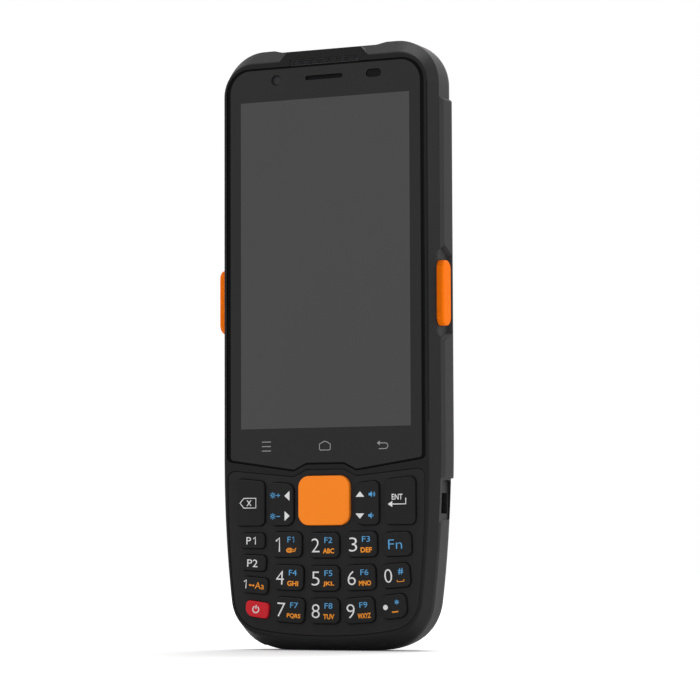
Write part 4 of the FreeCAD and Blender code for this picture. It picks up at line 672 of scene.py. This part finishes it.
GAP_SHADE_SIDE, GAP_SHADE_END, GAP_SHADE_OVER, GAP_SHADE_THICK = 0.85, 0.34, 0.1, 0.03
PORTS_REACH, PORTS_UPPER, PORTS_LOWER = 0.75, 1.5, 6
LOOKING_OUT = Vector((0, -1, 0))
gap_shade = face_copy("touch_glass", LOOKING_OUT)
glass_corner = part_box("touch_glass")[1]
half_w, top_z = glass_corner.x, glass_corner.z
bpy.ops.mesh.region_to_loop()
bpy.ops.object.mode_set(mode="OBJECT")
edge_spots = {spot for edge in gap_shade.data.edges if edge.select for spot in edge.vertices}
bpy.ops.object.mode_set(mode="EDIT")
bpy.ops.mesh.select_mode(type="VERT")
bpy.ops.mesh.select_all(action="DESELECT")
bpy.ops.object.mode_set(mode="OBJECT")
for spot in gap_shade.data.vertices:
    at_ports = top_z - PORTS_LOWER * MM < spot.co.z < top_z - PORTS_UPPER * MM
    in_ports = at_ports and abs(spot.co.x) < half_w * PORTS_REACH
    spot.select = in_ports or spot.index not in edge_spots
bpy.ops.object.mode_set(mode="EDIT")
bpy.ops.mesh.delete(type="VERT")
bpy.ops.mesh.select_all(action="SELECT")
bpy.ops.mesh.edge_face_add()
bpy.ops.mesh.select_mode(type="FACE")
bpy.ops.mesh.select_all(action="SELECT")
bpy.ops.mesh.normals_make_consistent(inside=False)
bpy.ops.transform.resize(value=(1 + GAP_SHADE_OVER * MM / half_w,) * 3)
bpy.ops.mesh.inset(thickness=GAP_SHADE_END * MM)
squeeze = (half_w - GAP_SHADE_SIDE * MM) / (half_w - GAP_SHADE_END * MM)
bpy.ops.transform.resize(value=(squeeze, 1, 1))
bpy.ops.mesh.delete(type="FACE")
bpy.ops.mesh.select_all(action="SELECT")
bpy.ops.mesh.extrude_region_move(TRANSFORM_OT_translate={"value": (0, -GAP_SHADE_THICK * MM, 0)})
bpy.ops.mesh.select_all(action="SELECT")
bpy.ops.mesh.normals_make_consistent(inside=False)
bpy.ops.object.mode_set(mode="OBJECT")
gap_shade.name = "glass_gap_shade"
gap_shade.data.materials.clear()
# The ring's finish, made with the moulded recipe, is near black and matt: it is the painted shade in the gap.
gap_shade.data.materials.append(moulded("painted_gap_shade", shade(14, 14, 14), 0.7, shine=0.03).owner)
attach(gap_shade, "housing")
print("gasket faces:", len(gap_shade.data.polygons))

# %% [markdown]
# The loudspeaker's grille is a plate with two rows of round holes in a raised frame. The shade in a hole is
# painted as a small black disc, since nothing is seen through so fine a mesh; the frame is one line round it.

# %% Painted shade in the grille holes, and the frame
HOLES, HOLE_PITCH, HOLE_RADIUS = 17, 1.1, 0.27
ROW_HEIGHT, ROW_SHIFT = 0.28, 0.25
GRILLE_LINE, OFF_METAL = 0.2, 0.01
# Near-black discs: painted shade in the holes
BLACK = ink("painted_hole_shade", shade(5, 5, 6))


def on_grille(name, shapes):
    stand(as_one(shapes), name, before("speaker_grille", OFF_METAL), "housing")


holes = []
for side in (1, -1):
    for i in range(HOLES):
        across = (i - (HOLES - 1) / 2 - side * ROW_SHIFT) * HOLE_PITCH
        holes.append(filled(arc((across, side * ROW_HEIGHT), HOLE_RADIUS, 0, 315, 7), BLACK))
on_grille("grille_hole_shade", holes)
low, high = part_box("speaker_grille")
plate_w, plate_h = (high.x - low.x) / MM / 2, (high.z - low.z) / MM / 2
corners = [(-plate_w, -plate_h), (plate_w, -plate_h), (plate_w, plate_h), (-plate_w, plate_h)]
DARK_GREY = ink("ink_dark_grey", shade(52, 52, 54))
on_grille("grille_frame", [drawn(corners, GRILLE_LINE, DARK_GREY, closed=True)])
print("grille holes:", len(holes))

# %% [markdown]
# Lenses sit in turned rings. A ring starts as a cylinder across the depth; both its ends are inset, the two
# inner faces are bridged, which bores it through, and a bevel breaks the sharp edges. The same function makes
# the rear camera's and the flash's ring. The front camera shows a paler iris, which is a printed disc.

# %% Lens rings
RING_ROUNDING = 0.08


def lens_ring(name, node, facing, wider, lip, deep, proud, finish):
    """A ring round a round node; facing is -1 to the front or 1 to the back, sizes are in mm."""
    low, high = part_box(node)
    radius = (high.x - low.x) / 2 + wider * MM
    face_y = (low.y if facing < 0 else high.y) + facing * proud * MM
    bpy.ops.object.select_all(action="DESELECT")
    bpy.ops.mesh.primitive_cylinder_add(
        vertices=40, radius=radius, depth=deep * MM, rotation=(math.radians(-90 * facing), 0, 0),
        location=((low.x + high.x) / 2, face_y - facing * deep / 2 * MM, (low.z + high.z) / 2))
    ring = settle(bpy.context.object)
    bpy.ops.object.mode_set(mode="EDIT")
    bpy.ops.mesh.select_all(action="DESELECT")
    bpy.ops.object.mode_set(mode="OBJECT")
    for face in ring.data.polygons:
        face.select = abs(face.normal.y) > 0.9
    bpy.ops.object.mode_set(mode="EDIT")
    bpy.ops.mesh.inset(thickness=lip * MM)
    bpy.ops.mesh.bridge_edge_loops()
    bpy.ops.mesh.select_all(action="SELECT")
    bpy.ops.mesh.normals_make_consistent(inside=False)
    bpy.ops.object.mode_set(mode="OBJECT")
    rounding = ring.modifiers.new("edge", "BEVEL")
    rounding.width = RING_ROUNDING * MM
    rounding.segments = 2
    bpy.ops.object.modifier_apply(modifier="edge")
    bpy.ops.object.shade_smooth_by_angle(angle=math.radians(35))
    ring.name = name
    ring.data.materials.append(finish.owner)
    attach(ring, "housing")


ring_grey = moulded("ring_grey", shade(46, 46, 48), 0.4, grain=0.2, depth=0.004, shine=0.3)
lens_ring("rear_camera_ring", "rear_camera_glass", 1, 0.35, 0.9, 0.5, 0.16, ring_grey)
lens_ring("flash_ring", "flash_lens", 1, 0.3, 0.5, 0.4, 0.1, ring_grey)
iris = filled(arc((0.3, -0.1), 1.0, 0, 345, 23), ink("iris_grey", shade(38, 38, 40)))
stand(iris, "front_camera_iris", before("front_camera", OFF_METAL), "housing")

# %% [markdown]
# ## Trim on the back
# The battery cover carries a stack of low ribs for the thumb, and its latch an arrow that shows which way it
# is pushed. A rib is a bar whose ends and edges are rounded by a bevel; it is modelled once and copied.

# %% Thumb ribs on the battery cover
def rib_bar(at, size):
    bpy.ops.object.select_all(action="DESELECT")
    bpy.ops.mesh.primitive_cube_add(size=1, location=[v * MM for v in at], scale=[v * MM for v in size])
    bar = settle(bpy.context.object)
    bpy.ops.object.mode_set(mode="EDIT")
    bpy.ops.mesh.select_all(action="SELECT")
    bpy.ops.mesh.bevel(offset=size[2] * 0.4 * MM, segments=3)
    bpy.ops.object.mode_set(mode="OBJECT")
    bpy.ops.object.shade_smooth_by_angle(angle=math.radians(40))
    return bar


RIBS, RIB_PITCH, RIB_PROUD = 5, 2.0, 0.18
RIB_LENGTH, RIB_WIDTH, RIBS_BELOW_TOP = 16, 0.8, 8
cover_low, cover_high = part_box("battery_cover")
back_y = cover_high.y / MM
middle_x = (cover_low.x + cover_high.x) / 2 / MM
top_rib = (middle_x, back_y, cover_high.z / MM - RIBS_BELOW_TOP)
first = rib_bar(top_rib, (RIB_LENGTH, 2 * RIB_PROUD, RIB_WIDTH))
bars = [first]
for i in range(1, RIBS):
    bar = first.copy()
    bar.data = first.data.copy()
    bpy.context.scene.collection.objects.link(bar)
    bar.location.z = -i * RIB_PITCH * MM
    bars.append(settle(bar))
only(*bars)
bpy.ops.object.join()
first.name = "cover_ribs"
first.data.materials.append(finishes["cover_plastic"].owner)
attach(first, "battery_cover")
print("ribs:", RIBS)

# %% Arrow on the latch
OFF_LATCH, ARROW_BELOW_TOP = 0.005, 2.0
low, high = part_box("cover_latch")
place = ((low.x + high.x) / 2, high.y + OFF_LATCH * MM, high.z - ARROW_BELOW_TOP * MM)
arrow = arrowhead((0, 0), 90, 1.1, 1.5, GREY)
stand(arrow, "latch_arrow", place, "cover_latch", turned=180)

# %% [markdown]
# ## Light
# The photograph is a catalogue picture: white all round, soft light from above, no hard edges. The
# surroundings give an even light at a plain level. To the camera, and in mirrors and glass, they are pure
# white. A broad lamp above and behind throws the soft shadow towards the camera, a smaller one in front picks
# out the upper bevels, and one to the right brightens the side.

# %% White surroundings
ROOM_LIGHT = 0.68
scene = bpy.context.scene
scene.view_settings.view_transform = "Standard"
scene.world = bpy.data.worlds.new("white_room")
room = Recipe(scene.world)
room.tree.nodes.clear()
ray = room.node("ShaderNodeLightPath")
seen = Value(room, ray.socket.node.outputs["Is Camera Ray"])
for kind in ("Is Glossy Ray", "Is Transmission Ray"):
    seen = seen.maths("MAXIMUM", Value(room, ray.socket.node.outputs[kind]))
strength = ROOM_LIGHT + seen * (1 - ROOM_LIGHT)
glow = room.node("ShaderNodeBackground", None, {"Color": (1, 1, 1, 1), "Strength": strength})
room.node("ShaderNodeOutputWorld", None, {"Surface": glow})


# %% Three broad lamps
def lamp(name, place, aim, width, watts):
    bpy.ops.object.select_all(action="DESELECT")
    bpy.ops.object.light_add(type="AREA", location=Vector(place))
    made = bpy.context.object
    made.name = name
    made.data.size = width
    made.data.energy = watts
    made.rotation_euler = (Vector(aim) - Vector(place)).to_track_quat("-Z", "Y").to_euler()


LAMPS = (
    # name, place and aim and width in metres, power in watts
    ("lamp_behind", (0.05, 0.4, 0.85), (0, 0, 0.05), 0.5, 5.0),
    ("lamp_front", (-0.3, -0.25, 0.85), (0, 0, 0.12), 0.3, 2.0),
    ("lamp_right", (0.75, 0.2, 0.35), (0, 0, 0.09), 0.4, 1.4),
)
for row in LAMPS:
    lamp(*row)

# %% [markdown]
# ## Floor and camera
# The floor is white card that keeps the soft shadow. It is lifted to full white for the camera only, by a
# little glow that the rest of the scene doesn't feel, and that grows with the distance from the object. The
# camera stands to the object's right at the height of the keypad's foot, with a long lens; its numbers come
# from the four corners of the display in the photograph.

# %% Floor
FLOOR_SIZE, FLOOR_GAP = 8, 0.05
GLOW_NEAR, GLOW_FAR = 0.1, 0.5
GLOW_STARTS, GLOW_GROWTH = 0.15, 1.4
bpy.ops.object.select_all(action="DESELECT")
bpy.ops.mesh.primitive_plane_add(size=FLOOR_SIZE, location=(0, 0, -FLOOR_GAP * MM))
floor = bpy.context.object
floor.name = "floor"
card = Finish("white_card", Specular_IOR_Level=0.0)
ray = card.node("ShaderNodeLightPath")
camera_ray = Value(card, ray.socket.node.outputs["Is Camera Ray"])
fibres = card.speckle(4)
card.feed("Base Color", card.between(fibres, shade(240, 240, 240), shade(244, 244, 244)))
card.feed("Roughness", 0.8 + fibres * 0.1)
distance = card.node("ShaderNodeVectorMath", {"operation": "LENGTH"}, {0: card.place}, out="Value")
dim, bright = (GLOW_NEAR,) * 3 + (1,), (GLOW_FAR,) * 3 + (1,)
lift = card.between((distance - GLOW_STARTS) * GLOW_GROWTH, dim, bright)
card.feed("Emission Color", card.between(camera_ray, (0, 0, 0, 1), lift))
card.shader.inputs["Emission Strength"].default_value = 1.0
floor.data.materials.append(card.owner)

# %% Camera
CAMERA_PLACE = (327.41, -704.21, 23.55)
TURNED_LEFT, TILTED_UP, ROLLED = (math.radians(v) for v in (24.648, 4.166, -0.208))
LENS, SENSOR_WIDTH = 149.14, 36
ahead = Vector((
    -math.sin(TURNED_LEFT) * math.cos(TILTED_UP),
    math.cos(TURNED_LEFT) * math.cos(TILTED_UP),
    math.sin(TILTED_UP),
))
level = Vector((math.cos(TURNED_LEFT), math.sin(TURNED_LEFT), 0))
above = level.cross(ahead)
right = level * math.cos(ROLLED) + above * math.sin(ROLLED)
up = above * math.cos(ROLLED) - level * math.sin(ROLLED)
bpy.ops.object.select_all(action="DESELECT")
bpy.ops.object.camera_add()
camera = bpy.context.object
turn = Matrix((right, up, -ahead)).transposed().to_4x4()
camera.matrix_world = Matrix.Translation(Vector(CAMERA_PLACE) * MM) @ turn
camera.data.lens = LENS
camera.data.sensor_width = SENSOR_WIDTH
camera.data.clip_start = 0.01
scene.camera = camera
